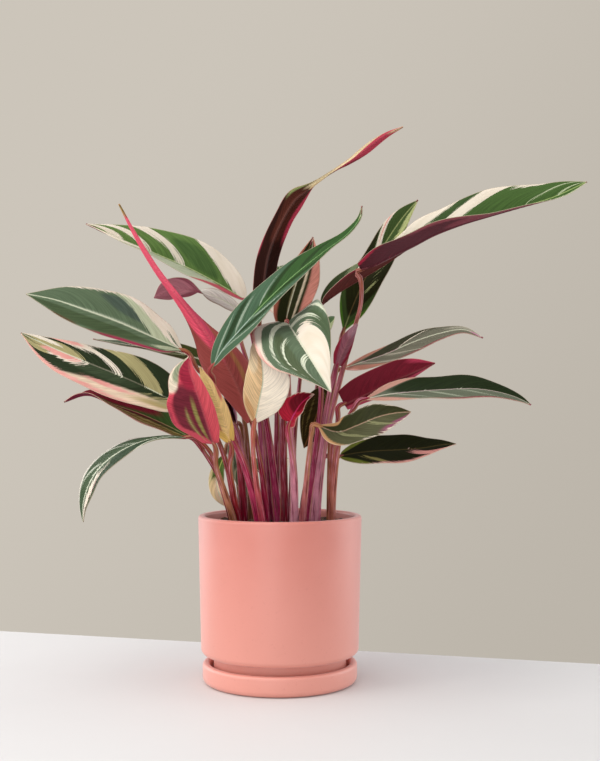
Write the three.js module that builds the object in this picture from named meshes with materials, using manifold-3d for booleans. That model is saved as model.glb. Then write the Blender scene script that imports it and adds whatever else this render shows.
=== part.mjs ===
// A potted Stromanthe 'Triostar': a clump of long, patterned prayer-plant leaves in a pink cylindrical pot
// that stands in its own saucer. Millimetres, +Z up, +X to the right, +Y to the back.
// The origin is where the pot's axis meets the surface that the saucer stands on.
import * as THREE from "three";
import { mergeVertices } from "three/addons/utils/BufferGeometryUtils.js";
import Module from "manifold-3d";

const wasm = await Module();
wasm.setup();

// ---------------------------------------------------------------- driving dimensions

const CLEARANCE = 0.3; // between two pieces that lie against each other

const POT_RADIUS = 81.5; // outside, at the rim
const POT_FOOT_RADIUS = 78.5; // outside, where the wall meets the bottom
const POT_HEIGHT = 165.5; // rim, above the table
const POT_WALL = 7.5;
const POT_FLOOR = 8;
const POT_BELLY = 28; // underside of the wall, above the table
const POT_CORNER = 6; // rounding between wall and underside
const POT_LIP = 3; // rounding of the rim
const STAND_RADIUS = 66; // the narrower foot that stands in the saucer
const STAND_RING = 8; // width of the ring that it stands on
const STAND_HOLLOW = 3; // height of the hollow inside that ring
const DRAIN_RADIUS = 7;

const SAUCER_RADIUS = 77;
const SAUCER_HEIGHT = 20;
const SAUCER_WALL = 7.5;
const SAUCER_FLOOR = 6;
const SAUCER_CORNER = 6; // rounding between its underside and its wall

const SOIL_HEIGHT = 157; // above the table
const SOIL_RELIEF = 1.6;
const ROOT_DEPTH = 30; // how far the stalks reach into the soil

const TURN_SIDES = 48; // facets round the pot, the saucer and the soil

const BLADE_THICKNESS = 0.8;
const BLADE_NECK = 1.4; // half-width where a blade meets its stalk
const BLADE_STEP = 20; // length of a facet along the rib, about
const STALK_SIDES = 6;
const STALK_STEPS = 9;
const STALK_TOP = 2.1; // a stalk's radius where it meets its blade
const STALK_APPROACH = 6; // the last of a stalk is in line with the midrib

// Every leaf is laid out on the upright plane through the pot's axis, as it is seen from a point in front
// of the pot: across and up on that plane, and how far behind it the point lies.
const EYE_ACROSS = 20;
const EYE_UP = 271;
const EYE_DISTANCE = 1155;
const TOWARDS_EYE = new THREE.Vector3(0, -1, 0);

function seen([across, up, back]) {
  const spread = (EYE_DISTANCE + back) / EYE_DISTANCE;
  return new THREE.Vector3(
    EYE_ACROSS + (across - EYE_ACROSS) * spread,
    back,
    EYE_UP + (up - EYE_UP) * spread,
  );
}

// ---------------------------------------------------------------- the leaves
//
// rib      the midrib from stalk to tip, each point as [across, up, back]
// half     widest half-width
// widest   where along the rib that is, from 0 at the stalk to 1 at the tip
// shape    instead of widest: the share of half at even steps along the rib, as [left, right]
// face     which way the upper face looks, at even steps along the rib
// fold     how far each half rises from the midrib, at even steps along the rib, as [left, right] in degrees
// curl     how much further each half has turned at its margin, given like fold
// wave     height of the waves at the margin
// stalk    the way down from the blade to the soil, each point as [across, up, back]
// foot     where the stalk enters the soil, [x, y]
// thick    the stalk's radius there
//
// Left and right are those of someone looking along the rib from the stalk, with the upper face up.

const LEAVES = {
  upper_left: {
    shoot: "left_inner",
    rib: [[-35, 380, 22], [-60, 395, 18], [-90, 411, 12], [-122, 425, 4], [-158, 440, -4], [-194, 456, -10]],
    half: 31, widest: 0.34,
    face: [[0.1, -0.7, 0.7], [0, -0.75, 0.66], [0.1, -0.6, 0.8]],
    fold: [[38, 38]], curl: [[-10, -14]], wave: 1.2,
    stalk: [[-40, 350, 16], [-33, 318, 10], [-22, 280, 6], [-18, 230, 4]],
    foot: [-14, 10], thick: 4,
  },
  pink_spear: {
    shoot: "left_front",
    rib: [[-29, 258, -34], [-45, 298, -36], [-66, 335, -38], [-92, 370, -40], [-121, 408, -42], [-144, 445, -44],
      [-161, 476, -46]],
    half: 31,
    shape: [[0.15, 0.1], [0.7, 0.45], [1, 0.75], [0.95, 0.85], [0.62, 0.62], [0.4, 0.4], [0.33, 0.33], [0.29, 0.29],
      [0.25, 0.25], [0.15, 0.15], [0, 0]],
    face: [[-0.2, 0.95, 0.1], [-0.4, 0.9, 0.2], [-0.5, 0.8, 0.3]],
    fold: [[10, 10], [20, 20], [24, 24]], curl: [[40, 40], [60, 60], [130, 130], [130, 130]], wave: 0,
    stalk: [[-21, 225, -30], [-16, 190, -24]],
    foot: [-14, -20], thick: 5,
  },
  left_long: {
    shoot: "left",
    rib: [[-98, 330, -22], [-130, 344, -30], [-162, 358, -38], [-195, 370, -46], [-225, 380, -52], [-254, 386, -58]],
    half: 31,
    shape: [[0, 0], [0.38, 0.6], [0.52, 0.82], [0.6, 0.95], [0.66, 1], [0.72, 0.98], [0.72, 0.9], [0.66, 0.74],
      [0.54, 0.52], [0.32, 0.26], [0, 0]],
    face: [[0.1, -0.75, 0.66], [0, -0.8, 0.6], [0, -0.75, 0.66]],
    fold: [[16, 16]], curl: [[-30, -12]], wave: 1.2,
    stalk: [[-80, 308, -14], [-62, 300, -8], [-50, 280, -4], [-42, 235, 0], [-38, 190, 2]],
    foot: [-37, 4], thick: 4.5,
  },
  left_pink_edge: {
    shoot: "left",
    rib: [[-92, 273, -38], [-113, 282, -44], [-135, 293, -50], [-162, 305, -56], [-194, 318, -60], [-225, 331, -62],
      [-259, 347, -64]],
    half: 27,
    shape: [[0, 0], [0.55, 0.75], [0.8, 0.98], [0.95, 1], [1.02, 0.92], [1.06, 0.82], [1.06, 0.7], [0.98, 0.57],
      [0.78, 0.4], [0.46, 0.22], [0, 0]],
    face: [[0.2, -0.85, 0.5], [0.15, -0.86, 0.5], [0.1, -0.8, 0.6]],
    fold: [[14, 12]], curl: [[-10, -12]], wave: 1.5,
    stalk: [[-74, 262, -26], [-62, 240, -16], [-52, 210, -8]],
    foot: [-43, -3], thick: 4,
  },
  left_under: {
    shoot: "left",
    rib: [[-91, 243, -10], [-117, 256, -16], [-140, 266, -22], [-166, 275, -28], [-192, 285, -32], [-216, 278, -36]],
    half: 20, widest: 0.4,
    face: [[0.1, -0.6, 0.8], [0.1, -0.55, 0.8], [0.1, -0.3, 0.9], [0.1, 0.5, 0.8]],
    fold: [[18, 22]], curl: [[-10, 10]], wave: 1.2,
    stalk: [[-76, 228, -2], [-62, 205, 2], [-52, 180, 4]],
    foot: [-43, 7], thick: 3.5,
  },
  front_left_red: {
    shoot: "front_left",
    rib: [[-66, 236, -94], [-74, 260, -108], [-84, 290, -116], [-91, 312, -112], [-90, 324, -104]],
    half: 38,
    shape: [[0.1, 0.3], [0.24, 0.8], [0.28, 1], [0.27, 0.93], [0.22, 0.74], [0.12, 0.58], [0, 0]],
    face: [[0.3, 0.9, 0.3], [0.3, 0.95, 0.1], [0.2, 0.9, -0.3]],
    fold: [[30, 4]], curl: [[20, 10]], wave: 1.8,
    stalk: [[-64, 215, -80], [-56, 190, -58]],
    foot: [-44, -30], thick: 4,
  },
  front_left_cream: {
    shoot: "front_left",
    rib: [[-50, 238, -68], [-57, 262, -78], [-68, 290, -84], [-80, 313, -86]],
    half: 18,
    shape: [[0.2, 0.2], [0.42, 0.75], [0.45, 1], [0.42, 0.95], [0.34, 0.7], [0.18, 0.35], [0, 0]],
    face: [[-0.2, 0.95, 0.2], [-0.3, 0.9, 0.2], [-0.3, 0.9, 0]],
    fold: [[10, 16]], curl: [[20, 20]], wave: 1.4,
    stalk: [[-50, 214, -60], [-46, 185, -48]],
    foot: [-40, -26], thick: 3.5,
  },
  low_left: {
    shoot: "front_left",
    rib: [[-94, 243, -60], [-118, 243, -64], [-139, 238, -66], [-157, 230, -66], [-173, 219, -64], [-185, 206, -62],
      [-193, 190, -60], [-197, 174, -58], [-197, 158, -56]],
    half: 22, widest: 0.5,
    face: [[0, -0.5, 0.86], [-0.2, -0.6, 0.8], [-0.6, -0.7, 0.3], [-0.7, -0.7, 0]],
    fold: [[30, -24], [26, -14], [14, 0]], curl: [[-10, -10]], wave: 1.2,
    stalk: [[-82, 240, -56], [-70, 228, -52], [-62, 205, -48], [-54, 180, -42]],
    foot: [-46, -22], thick: 3.5,
  },
  low_left_cream: {
    shoot: "back_left",
    rib: [[-56, 224, 26], [-62, 206, 24], [-62, 190, 22], [-52, 172, 24]],
    half: 9, widest: 0.5,
    face: [[-0.4, -0.8, 0.4], [-0.4, -0.9, 0], [-0.3, -0.9, -0.2]],
    fold: [[20, 20]], curl: [[-10, -10]], wave: 0.6,
    stalk: [[-52, 236, 24], [-46, 230, 24], [-42, 200, 24]],
    foot: [-38, 24], thick: 3.5,
  },
  hanging_green: {
    shoot: "back_left",
    rib: [[-47, 243, 16], [-44, 222, 12], [-38, 200, 10], [-34, 181, 12]],
    half: 9, widest: 0.45,
    face: [[0.1, -0.9, 0.4], [0.1, -1, 0.1], [0.1, -1, 0]],
    fold: [[15, 15]], curl: [[-10, -10]], wave: 0.6,
    stalk: [[-45, 256, 22], [-40, 256, 28], [-36, 225, 28]],
    foot: [-32, 24], thick: 3.5,
  },
  young_cup: {
    shoot: "left_front",
    rib: [[-45, 256, -14], [-51, 272, -14], [-56, 290, -12]],
    half: 9, widest: 0.45,
    face: [[0.2, -0.9, 0.2], [0.2, -0.9, 0.2]],
    fold: [[30, 30]], curl: [[60, 60]], wave: 0,
    stalk: [[-36, 225, -16], [-27, 190, -16]],
    foot: [-21, -14], thick: 4,
  },
  centre_long: {
    shoot: "left_front",
    rib: [[-67, 314, -66], [-57, 330, -68], [-38, 352, -68], [-12, 380, -64], [16, 406, -58], [44, 428, -52],
      [68, 446, -48], [80, 462, -46], [82, 474, -45]],
    half: 21, widest: 0.32,
    face: [[-0.5, -0.75, 0.4], [-0.45, -0.75, 0.45], [-0.4, -0.6, 0.7], [-0.4, -0.5, 0.8]],
    fold: [[14, 26]], curl: [[-8, -10]], wave: 1,
    stalk: [[-67, 302, -62], [-64, 285, -54], [-54, 255, -42], [-36, 215, -34]],
    foot: [-20, -26], thick: 4.5,
  },
  top_dark: {
    shoot: "centre",
    rib: [[-20, 362, 26], [-17, 392, 26], [-12, 424, 24], [0, 455, 20], [15, 480, 17], [26, 489, 16], [46, 504, 14],
      [57, 511, 12], [72, 520.5, 10], [87, 532, 8], [99, 541, 6], [109, 547, 5], [123, 553, 4]],
    half: 15,
    shape: [[0.2, 0.2], [0.75, 0.6], [0.9, 0.71], [0.9, 0.71], [0.82, 0.66], [0.76, 0.62], [0.8, 0.66], [0.4, 0.28],
      [0.2, 0.1], [0.26, 0.13], [0.42, 0.22], [0.28, 0.14], [0, 0]],
    face: [[-0.2, 0.95, 0.1], [-0.25, 0.95, 0.1], [-0.3, 0.95, 0.1], [-0.3, 0.93, 0.2], [-0.4, 0.85, 0.3],
      [-0.6, 0.2, 0.8], [-0.5, 0.7, 0.5], [-0.4, 0.85, 0.4], [-0.3, 0.9, 0.3]],
    fold: [[14, 22]], curl: [[4, 10]], wave: 0.8,
    stalk: [[-19, 330, 24], [-16, 280, 20], [-8, 220, 14]],
    foot: [-2, 6], thick: 5,
  },
  back_centre: {
    shoot: "centre",
    rib: [[3, 345, 10], [9, 372, 10], [18, 402, 10], [27, 426, 8], [33, 443, 6]],
    half: 23,
    shape: [[0, 0], [0.62, 0.75], [0.75, 1], [0.68, 1.08], [0.5, 1], [0.28, 0.65], [0, 0]],
    face: [[0, -0.98, 0.2], [0, -0.98, 0.2], [0, -0.95, 0.3]],
    fold: [[32, 28]], curl: [[-10, -10]], wave: 1,
    stalk: [[2, 320, 10], [4, 270, 6], [4, 220, 2]],
    foot: [4, 0], thick: 4.5,
  },
  front_centre: {
    shoot: "centre_front",
    rib: [[8, 357, -44], [13, 349, -68], [21, 337, -92], [31, 321, -112], [40, 306, -126], [51, 288, -138]],
    half: 38,
    shape: [[0.25, 0.3], [0.85, 0.9], [1, 1.02], [0.98, 1.05], [0.9, 1.05], [0.78, 0.97], [0.63, 0.82], [0.46, 0.62],
      [0.3, 0.4], [0.14, 0.18], [0, 0]],
    face: [[0, -0.45, 0.9], [0, -0.55, 0.84], [0.1, -0.75, 0.65], [0.1, -0.85, 0.5]],
    fold: [[52, 14], [50, -2], [38, -14], [26, -12], [12, -5]], curl: [[-12, -12]], wave: 1.2,
    stalk: [[8, 352, -28], [8, 320, -20], [10, 260, -18], [14, 200, -16]],
    foot: [14, -14], thick: 4.5,
  },
  front_cream: {
    shoot: "centre_left",
    rib: [[-25, 259, -58], [-21, 278, -68], [-17, 300, -74], [-19, 322, -70], [-25, 341, -60]],
    half: 24,
    shape: [[0.1, 0.1], [0.38, 0.5], [0.58, 0.85], [0.7, 1], [0.72, 1.1], [0.68, 1], [0.55, 0.35], [0.42, 0.1],
      [0.28, 0.05], [0, 0]],
    face: [[0, -1, 0], [0, -1, 0], [0, -1, 0.1]],
    fold: [[24, 24]], curl: [[-20, -20]], wave: 0.6,
    stalk: [[-27, 235, -48], [-24, 200, -38]],
    foot: [-16, -36], thick: 4,
  },
  front_red: {
    shoot: "centre_front",
    rib: [[10, 257, -62], [15, 267, -70], [23, 278, -74], [34, 286, -72]],
    half: 16,
    shape: [[0.5, 0.4], [0.9, 0.7], [1, 0.8], [0.95, 0.8], [0.7, 0.6], [0.4, 0.35], [0, 0]],
    face: [[-0.4, -0.9, 0], [-0.3, -0.9, 0.2], [-0.3, -0.8, 0.5]],
    fold: [[12, 24]], curl: [[30, 40]], wave: 1.4,
    stalk: [[10, 235, -54], [15, 200, -42]],
    foot: [14, -28], thick: 4,
  },
  right_upper: {
    shoot: "right_tall",
    rib: [[64, 350, 28], [73, 374, 33], [86, 403, 36], [103, 433, 34], [121, 460, 30], [138, 480, 26]],
    half: 22,
    shape: [[0, 0], [0.42, 0.56], [0.7, 0.8], [0.78, 0.93], [0.7, 0.99], [0.6, 0.99], [0.58, 0.92], [0.6, 0.78],
      [0.54, 0.58], [0.33, 0.31], [0, 0]],
    face: [[-0.2, -0.95, 0.1], [-0.3, -0.93, 0.2], [-0.3, -0.9, 0.3]],
    fold: [[18, 20]], curl: [[-10, -10]], wave: 1,
    stalk: [[60, 332, 24], [52, 300, 20], [42, 240, 12]],
    foot: [36, 5], thick: 4.5,
  },
  right_long: {
    shoot: "right_tall",
    rib: [[81, 410, -14], [93, 414, -17], [111, 423, -20], [133, 434, -24], [154, 445, -28], [183, 456, -32],
      [210, 464, -34], [238, 472, -38], [272, 482, -42], [307, 498, -46]],
    half: 26,
    shape: [[0.1, 0.4], [0.4, 1.08], [0.62, 1.12], [0.9, 1.02], [0.98, 0.96], [1.08, 0.88], [1.1, 0.76], [0.98, 0.64],
      [0.78, 0.5], [0.5, 0.34], [0, 0]],
    face: [[-0.3, -0.3, 0.9], [-0.2, -0.35, 0.9], [-0.1, -0.5, 0.85], [0, -0.7, 0.7]],
    fold: [[52, 46], [52, 38], [46, 30], [40, 22], [30, 12]], curl: [[-10, 6]], wave: 1.6,
    stalk: [[80, 402, -11], [81, 378, -6], [74, 350, -4], [60, 300, -4], [45, 240, -6]],
    foot: [35, -7], thick: 4.5,
  },
  right_inner: {
    shoot: "right_tall",
    rib: [[42, 376, 6], [60, 389, 10], [82, 402, 12], [106, 416, 12], [131, 433, 12]],
    half: 17, widest: 0.4,
    face: [[-0.4, -0.3, 0.9], [-0.4, -0.4, 0.85], [-0.4, -0.4, 0.8]],
    fold: [[50, 55]], curl: [[0, 0]], wave: 0.8,
    stalk: [[40, 360, 4], [40, 330, 2], [41, 280, 0], [36, 230, 0]],
    foot: [30, 0], thick: 4,
  },
  right_sheath: {
    shoot: "right_tall",
    rib: [[58, 315, -18], [63, 328, -18], [69, 342, -16], [77, 356, -14]],
    half: 9,
    shape: [[0.5, 0.5], [0.95, 0.95], [1, 1], [0.85, 0.85], [0.5, 0.5], [0.1, 0.1]],
    face: [[-0.2, 0.95, -0.1], [-0.2, 0.95, -0.1]],
    fold: [[10, 10]], curl: [[40, 40]], wave: 0,
    stalk: [[54, 298, -20], [49, 270, -20], [42, 230, -17]],
    foot: [33, -16], thick: 5,
  },
  right_grey: {
    shoot: "right",
    rib: [[62, 311, 6], [86, 319, -6], [106, 326, -16], [134, 338, -26], [158, 346, -33], [184, 350, -38],
      [203, 342, -40]],
    half: 18,
    shape: [[0, 0], [0.36, 0.5], [0.52, 0.75], [0.6, 0.86], [0.64, 0.9], [0.65, 0.86], [0.6, 0.76], [0.5, 0.62],
      [0.38, 0.45], [0.2, 0.25], [0, 0]],
    face: [[0, -0.65, 0.76], [0, -0.7, 0.71], [0.1, -0.6, 0.8]],
    fold: [[12, 10]], curl: [[-16, -14]], wave: 1.2,
    stalk: [[55, 304, 8], [51, 280, 6], [50, 230, 2]],
    foot: [50, 2], thick: 3.5,
  },
  right_crimson: {
    shoot: "right",
    rib: [[64, 276, -40], [90, 288, -46], [110, 298, -50], [132, 307, -54], [155, 317, -54]],
    half: 19,
    shape: [[0.4, 0.7], [0.5, 0.95], [0.6, 1], [0.55, 0.95], [0.4, 0.9], [0.2, 0.6], [0, 0]],
    face: [[-0.1, 0.9, 0.4], [-0.1, 0.92, 0.4], [0, 0.9, 0.4]],
    fold: [[10, 10]], curl: [[14, 14]], wave: 0.6,
    stalk: [[58, 262, -36], [53, 230, -26]],
    foot: [51, -12], thick: 3.5,
  },
  right_green: {
    shoot: "right",
    rib: [[86, 281, -68], [106, 285, -72], [132, 288, -76], [160, 290, -80], [196, 291, -84], [222, 287, -86],
      [240, 281, -88], [251, 275, -90]],
    half: 21,
    shape: [[0, 0], [0.56, 0.35], [0.8, 0.5], [0.93, 0.6], [0.99, 0.72], [0.99, 0.8], [0.92, 0.8], [0.78, 0.72],
      [0.58, 0.55], [0.31, 0.3], [0, 0]],
    face: [[0, -0.6, 0.8], [0, -0.5, 0.86], [0.1, -0.5, 0.85]],
    fold: [[18, 10]], curl: [[-14, -20]], wave: 1.2,
    stalk: [[74, 272, -62], [62, 250, -50], [56, 215, -36]],
    foot: [51, -20], thick: 3.5,
  },
  right_small: {
    shoot: "right_front",
    rib: [[39, 254, -86], [58, 248, -92], [76, 254, -94], [98, 263, -92], [116, 267, -88], [131, 268, -84]],
    half: 21,
    shape: [[0, 0], [0.35, 0.45], [0.6, 0.75], [0.75, 0.92], [0.8, 1], [0.82, 1], [0.8, 1], [0.72, 0.9], [0.55, 0.68],
      [0.3, 0.4], [0, 0]],
    face: [[0.1, -0.6, 0.8], [0, -0.5, 0.86], [-0.1, -0.55, 0.82]],
    fold: [[20, -5]], curl: [[-8, -10]], wave: 1,
    stalk: [[32, 250, -80], [29, 225, -68], [26, 195, -54]],
    foot: [22, -38], thick: 3.5,
  },
  right_low: {
    shoot: "back_right",
    rib: [[60, 224, 16], [78, 227, 12], [98, 229, 8], [120, 230, 6], [144, 232, 4], [162, 235, 2], [176, 236, 0]],
    half: 20, widest: 0.42,
    face: [[0, -0.7, 0.7], [0, -0.7, 0.7], [0, -0.6, 0.8]],
    fold: [[12, 12]], curl: [[-10, -10]], wave: 1,
    stalk: [[46, 224, 20], [32, 215, 22], [25, 190, 24]],
    foot: [22, 24], thick: 3.5,
  },
  hanging_dark: {
    shoot: "back_right",
    rib: [[42, 292, 30], [38, 270, 26], [31, 250, 24], [24, 232, 24]],
    half: 17, widest: 0.4,
    face: [[0.2, -0.9, 0.4], [0.2, -0.95, 0.1], [0.2, -0.95, 0]],
    fold: [[14, 14]], curl: [[-10, -10]], wave: 0.8,
    stalk: [[43, 304, 38], [40, 306, 46], [34, 270, 46], [30, 215, 38]],
    foot: [27, 31], thick: 4,
  },
  left_inner: {
    shoot: "back_left",
    rib: [[-62, 310, 10], [-80, 320, 6], [-105, 328, 2], [-140, 333, -2], [-165, 337, -4], [-187, 341, -6]],
    half: 15, widest: 0.3,
    face: [[0, -0.7, 0.7], [0, -0.4, 0.9], [0, -0.25, 0.95]],
    fold: [[14, 14]], curl: [[-10, -10]], wave: 0.8,
    stalk: [[-50, 298, 16], [-38, 270, 20], [-32, 225, 20]],
    foot: [-30, 17], thick: 4,
  },
  left_curled: {
    shoot: "left_inner",
    rib: [[-38, 368, 44], [-60, 381, 42], [-84, 389, 38], [-107, 391, 36], [-126, 382, 34]],
    half: 15,
    shape: [[0.1, 0.1], [0.6, 0.6], [0.8, 0.8], [0.9, 0.9], [1, 1], [0.85, 0.85], [0, 0]],
    face: [[0, -0.8, 0.6], [0, -0.6, 0.8], [-0.2, 0.5, 0.8], [-0.4, 0.9, 0.2]],
    fold: [[14, 14]], curl: [[-20, -20]], wave: 1.4,
    stalk: [[-28, 345, 44], [-21, 300, 38], [-16, 240, 26]],
    foot: [-10, 18], thick: 4,
  },
  back_left_high: {
    shoot: "back",
    rib: [[-2, 365, 76], [0, 395, 104], [0, 412, 140], [-4, 410, 176], [-10, 394, 206]],
    half: 26, widest: 0.4,
    face: [[0, -0.7, 0.7], [-0.1, -0.2, 1], [-0.1, 0.2, 1], [-0.1, 0.6, 0.8]],
    fold: [[16, 16]], curl: [[-10, -10]], wave: 1.4,
    stalk: [[-2, 330, 62], [-3, 250, 46]],
    foot: [-4, 34], thick: 4.5,
  },
  back_middle: {
    shoot: "back",
    rib: [[0, 300, 84], [0, 322, 116], [-2, 332, 152], [-4, 328, 188], [-6, 312, 222]],
    half: 27, widest: 0.4,
    face: [[0, -0.7, 0.7], [0, -0.2, 1], [0, 0.2, 1], [0, 0.6, 0.8]],
    fold: [[14, 14]], curl: [[-10, -12]], wave: 1.4,
    stalk: [[2, 270, 68], [2, 220, 50]],
    foot: [4, 36], thick: 4.5,
  },
  back_right_high: {
    shoot: "back",
    rib: [[24, 330, 66], [30, 350, 94], [33, 362, 126], [34, 358, 160], [34, 344, 192]],
    half: 25, widest: 0.4,
    face: [[0.1, -0.7, 0.7], [0.1, -0.2, 1], [0.1, 0.2, 1], [0.1, 0.6, 0.8]],
    fold: [[16, 16]], curl: [[-10, -10]], wave: 1.4,
    stalk: [[20, 300, 56], [14, 240, 46]],
    foot: [10, 32], thick: 4.5,
  },
  back_low: {
    shoot: "back",
    rib: [[-6, 202, 84], [-10, 216, 112], [-14, 218, 144], [-20, 206, 176]],
    half: 22, widest: 0.4,
    face: [[0, -0.7, 0.7], [0, -0.1, 1], [0, 0.5, 0.86], [0, 0.8, 0.6]],
    fold: [[14, 14]], curl: [[-10, -10]], wave: 1.2,
    stalk: [[-3, 186, 66]],
    foot: [0, 42], thick: 4,
  },
};

// ---------------------------------------------------------------- solids

function solidOf(geometry) {
  const bare = geometry.clone();
  bare.deleteAttribute("normal");
  bare.deleteAttribute("uv");
  const merged = mergeVertices(bare, 1e-4);
  return new wasm.Manifold(
    new wasm.Mesh({
      numProp: 3,
      vertProperties: new Float32Array(merged.attributes.position.array),
      triVerts: new Uint32Array(merged.index.array),
    }),
  );
}

function geometryOf(solid) {
  const mesh = solid.getMesh();
  const geometry = new THREE.BufferGeometry();
  geometry.setAttribute("position", new THREE.BufferAttribute(new Float32Array(mesh.vertProperties), 3));
  geometry.setIndex(new THREE.BufferAttribute(new Uint32Array(mesh.triVerts), 1));
  geometry.computeVertexNormals();
  return geometry;
}

// A solid turned from a closed outline of [radius, height] points, with its axis along +Z.
function turned(profile, sides = TURN_SIDES) {
  const points = profile.map(([radius, height]) => new THREE.Vector2(radius, height));
  return new THREE.LatheGeometry(points, sides).rotateX(Math.PI / 2);
}

// Points on a quarter round of a turned profile, from one angle to another in degrees.
function round(radius, height, size, from, to, steps = 3) {
  return Array.from({ length: steps + 1 }, (_, i) => {
    const angle = THREE.MathUtils.degToRad(from + ((to - from) * i) / steps);
    return [radius + size * Math.cos(angle), height + size * Math.sin(angle)];
  });
}

// ---------------------------------------------------------------- pot, saucer and soil

function potGeometry() {
  const inner = POT_RADIUS - POT_WALL;
  const floor = POT_BELLY + POT_FLOOR;
  const profile = [
    [DRAIN_RADIUS, SAUCER_FLOOR + STAND_HOLLOW],
    [STAND_RADIUS - STAND_RING - STAND_HOLLOW / 2, SAUCER_FLOOR + STAND_HOLLOW],
    [STAND_RADIUS - STAND_RING, SAUCER_FLOOR],
    [STAND_RADIUS, SAUCER_FLOOR],
    [STAND_RADIUS, POT_BELLY],
    ...round(POT_FOOT_RADIUS - POT_CORNER, POT_BELLY + POT_CORNER, POT_CORNER, -90, 0),
    ...round(POT_RADIUS - POT_LIP, POT_HEIGHT - POT_LIP, POT_LIP, 0, 90),
    ...round(inner + POT_LIP, POT_HEIGHT - POT_LIP, POT_LIP, 90, 180),
    ...round(inner - POT_CORNER, floor + POT_CORNER, POT_CORNER, 0, -90),
    [DRAIN_RADIUS, floor],
  ];
  return turned([...profile, profile[0]]);
}

function saucerGeometry() {
  const lip = SAUCER_WALL / 2;
  const inner = SAUCER_RADIUS - SAUCER_WALL;
  const profile = [
    [0, 0],
    ...round(SAUCER_RADIUS - SAUCER_CORNER, SAUCER_CORNER, SAUCER_CORNER, -90, 0),
    ...round(SAUCER_RADIUS - lip, SAUCER_HEIGHT - lip, lip, 0, 180, 5),
    [inner, SAUCER_FLOOR],
    [0, SAUCER_FLOOR],
  ];
  return turned(profile);
}

// The soil fills the pot, and its top is uneven.
function soilSolid(stalkHoles) {
  const radius = POT_RADIUS - POT_WALL - CLEARANCE;
  const bottom = POT_BELLY + POT_FLOOR + CLEARANCE;
  const rings = [1, 0.7, 0.4];
  const profile = [
    [0, bottom],
    [radius - POT_CORNER, bottom],
    [radius, bottom + POT_CORNER],
    ...rings.map((share) => [radius * share, SOIL_HEIGHT]),
    [0, SOIL_HEIGHT],
  ];
  const geometry = turned(profile, TURN_SIDES / 2);
  const place = geometry.attributes.position;
  for (let i = 0; i < place.count; i++) {
    if (place.getZ(i) < SOIL_HEIGHT - 1) continue;
    const [x, y] = [place.getX(i), place.getY(i)];
    const lumps = Math.sin(x * 0.21 + 1) * Math.cos(y * 0.19) + 0.6 * Math.sin(x * 0.47 - y * 0.39);
    place.setZ(i, SOIL_HEIGHT + SOIL_RELIEF * lumps * (1 - Math.hypot(x, y) / radius / 2));
  }
  return stalkHoles.reduce((soil, hole) => soil.subtract(hole), solidOf(geometry));
}

// ---------------------------------------------------------------- stalks

// A stalk is a drawn-out cylinder bent along its route from the shoot's crown in the soil: broad and
// slightly flattened where its sheath leaves the soil, and slender where it meets the blade. grow widens
// it, for the hole that it stands in.
function stalkSolid(leaf, crown, grow = 0) {
  const root = new THREE.Vector3(crown[0], crown[1], SOIL_HEIGHT - ROOT_DEPTH - grow);
  const foot = new THREE.Vector3(leaf.foot[0], leaf.foot[1], SOIL_HEIGHT);
  const joint = seen(leaf.rib[0]);
  const onward = seen(leaf.rib[1]).sub(joint).normalize();
  const top = joint.clone().addScaledVector(onward, -CLEARANCE);
  const approach = joint.clone().addScaledVector(onward, -STALK_APPROACH);
  const route = [root, foot, ...leaf.stalk.map(seen).reverse(), approach, top];
  const curve = new THREE.CatmullRomCurve3(route, false, "centripetal");
  const geometry = new THREE.CylinderGeometry(1, 1, 1, STALK_SIDES, STALK_STEPS);
  const place = geometry.attributes.position;
  for (let i = 0; i < place.count; i++) {
    const share = THREE.MathUtils.clamp(place.getY(i) + 0.5, 0, 1);
    const centre = curve.getPointAt(share);
    const along = curve.getTangentAt(share);
    const side = new THREE.Vector3().crossVectors(along, TOWARDS_EYE).normalize();
    const front = new THREE.Vector3().crossVectors(side, along).normalize();
    const slim = Math.min(1, share * 1.25) ** 0.8;
    const radius = THREE.MathUtils.lerp(leaf.thick, STALK_TOP, slim) + grow;
    const flat = THREE.MathUtils.lerp(1.25, 1, slim);
    centre.addScaledVector(side, place.getX(i) * radius * flat);
    centre.addScaledVector(front, (place.getZ(i) * radius) / flat);
    place.setXYZ(i, centre.x, centre.y, centre.z);
  }
  return solidOf(geometry);
}

// ---------------------------------------------------------------- blades

// How wide a blade is at u along its rib: rounded at the stalk, and drawn out to a point at the tip.
function outline(u, widest) {
  if (u < widest) return (1 - (1 - u / widest) ** 2) ** 0.62;
  return (1 - ((u - widest) / (1 - widest)) ** 2) ** 1.05;
}

// What a list of values at even steps along the rib gives at u.
function valuesAt(list, u) {
  const at = u * (list.length - 1);
  const i = Math.min(Math.floor(at), list.length - 1);
  const next = list[Math.min(i + 1, list.length - 1)];
  return list[i].map((value, k) => THREE.MathUtils.lerp(value, next[k], at - i));
}

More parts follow.
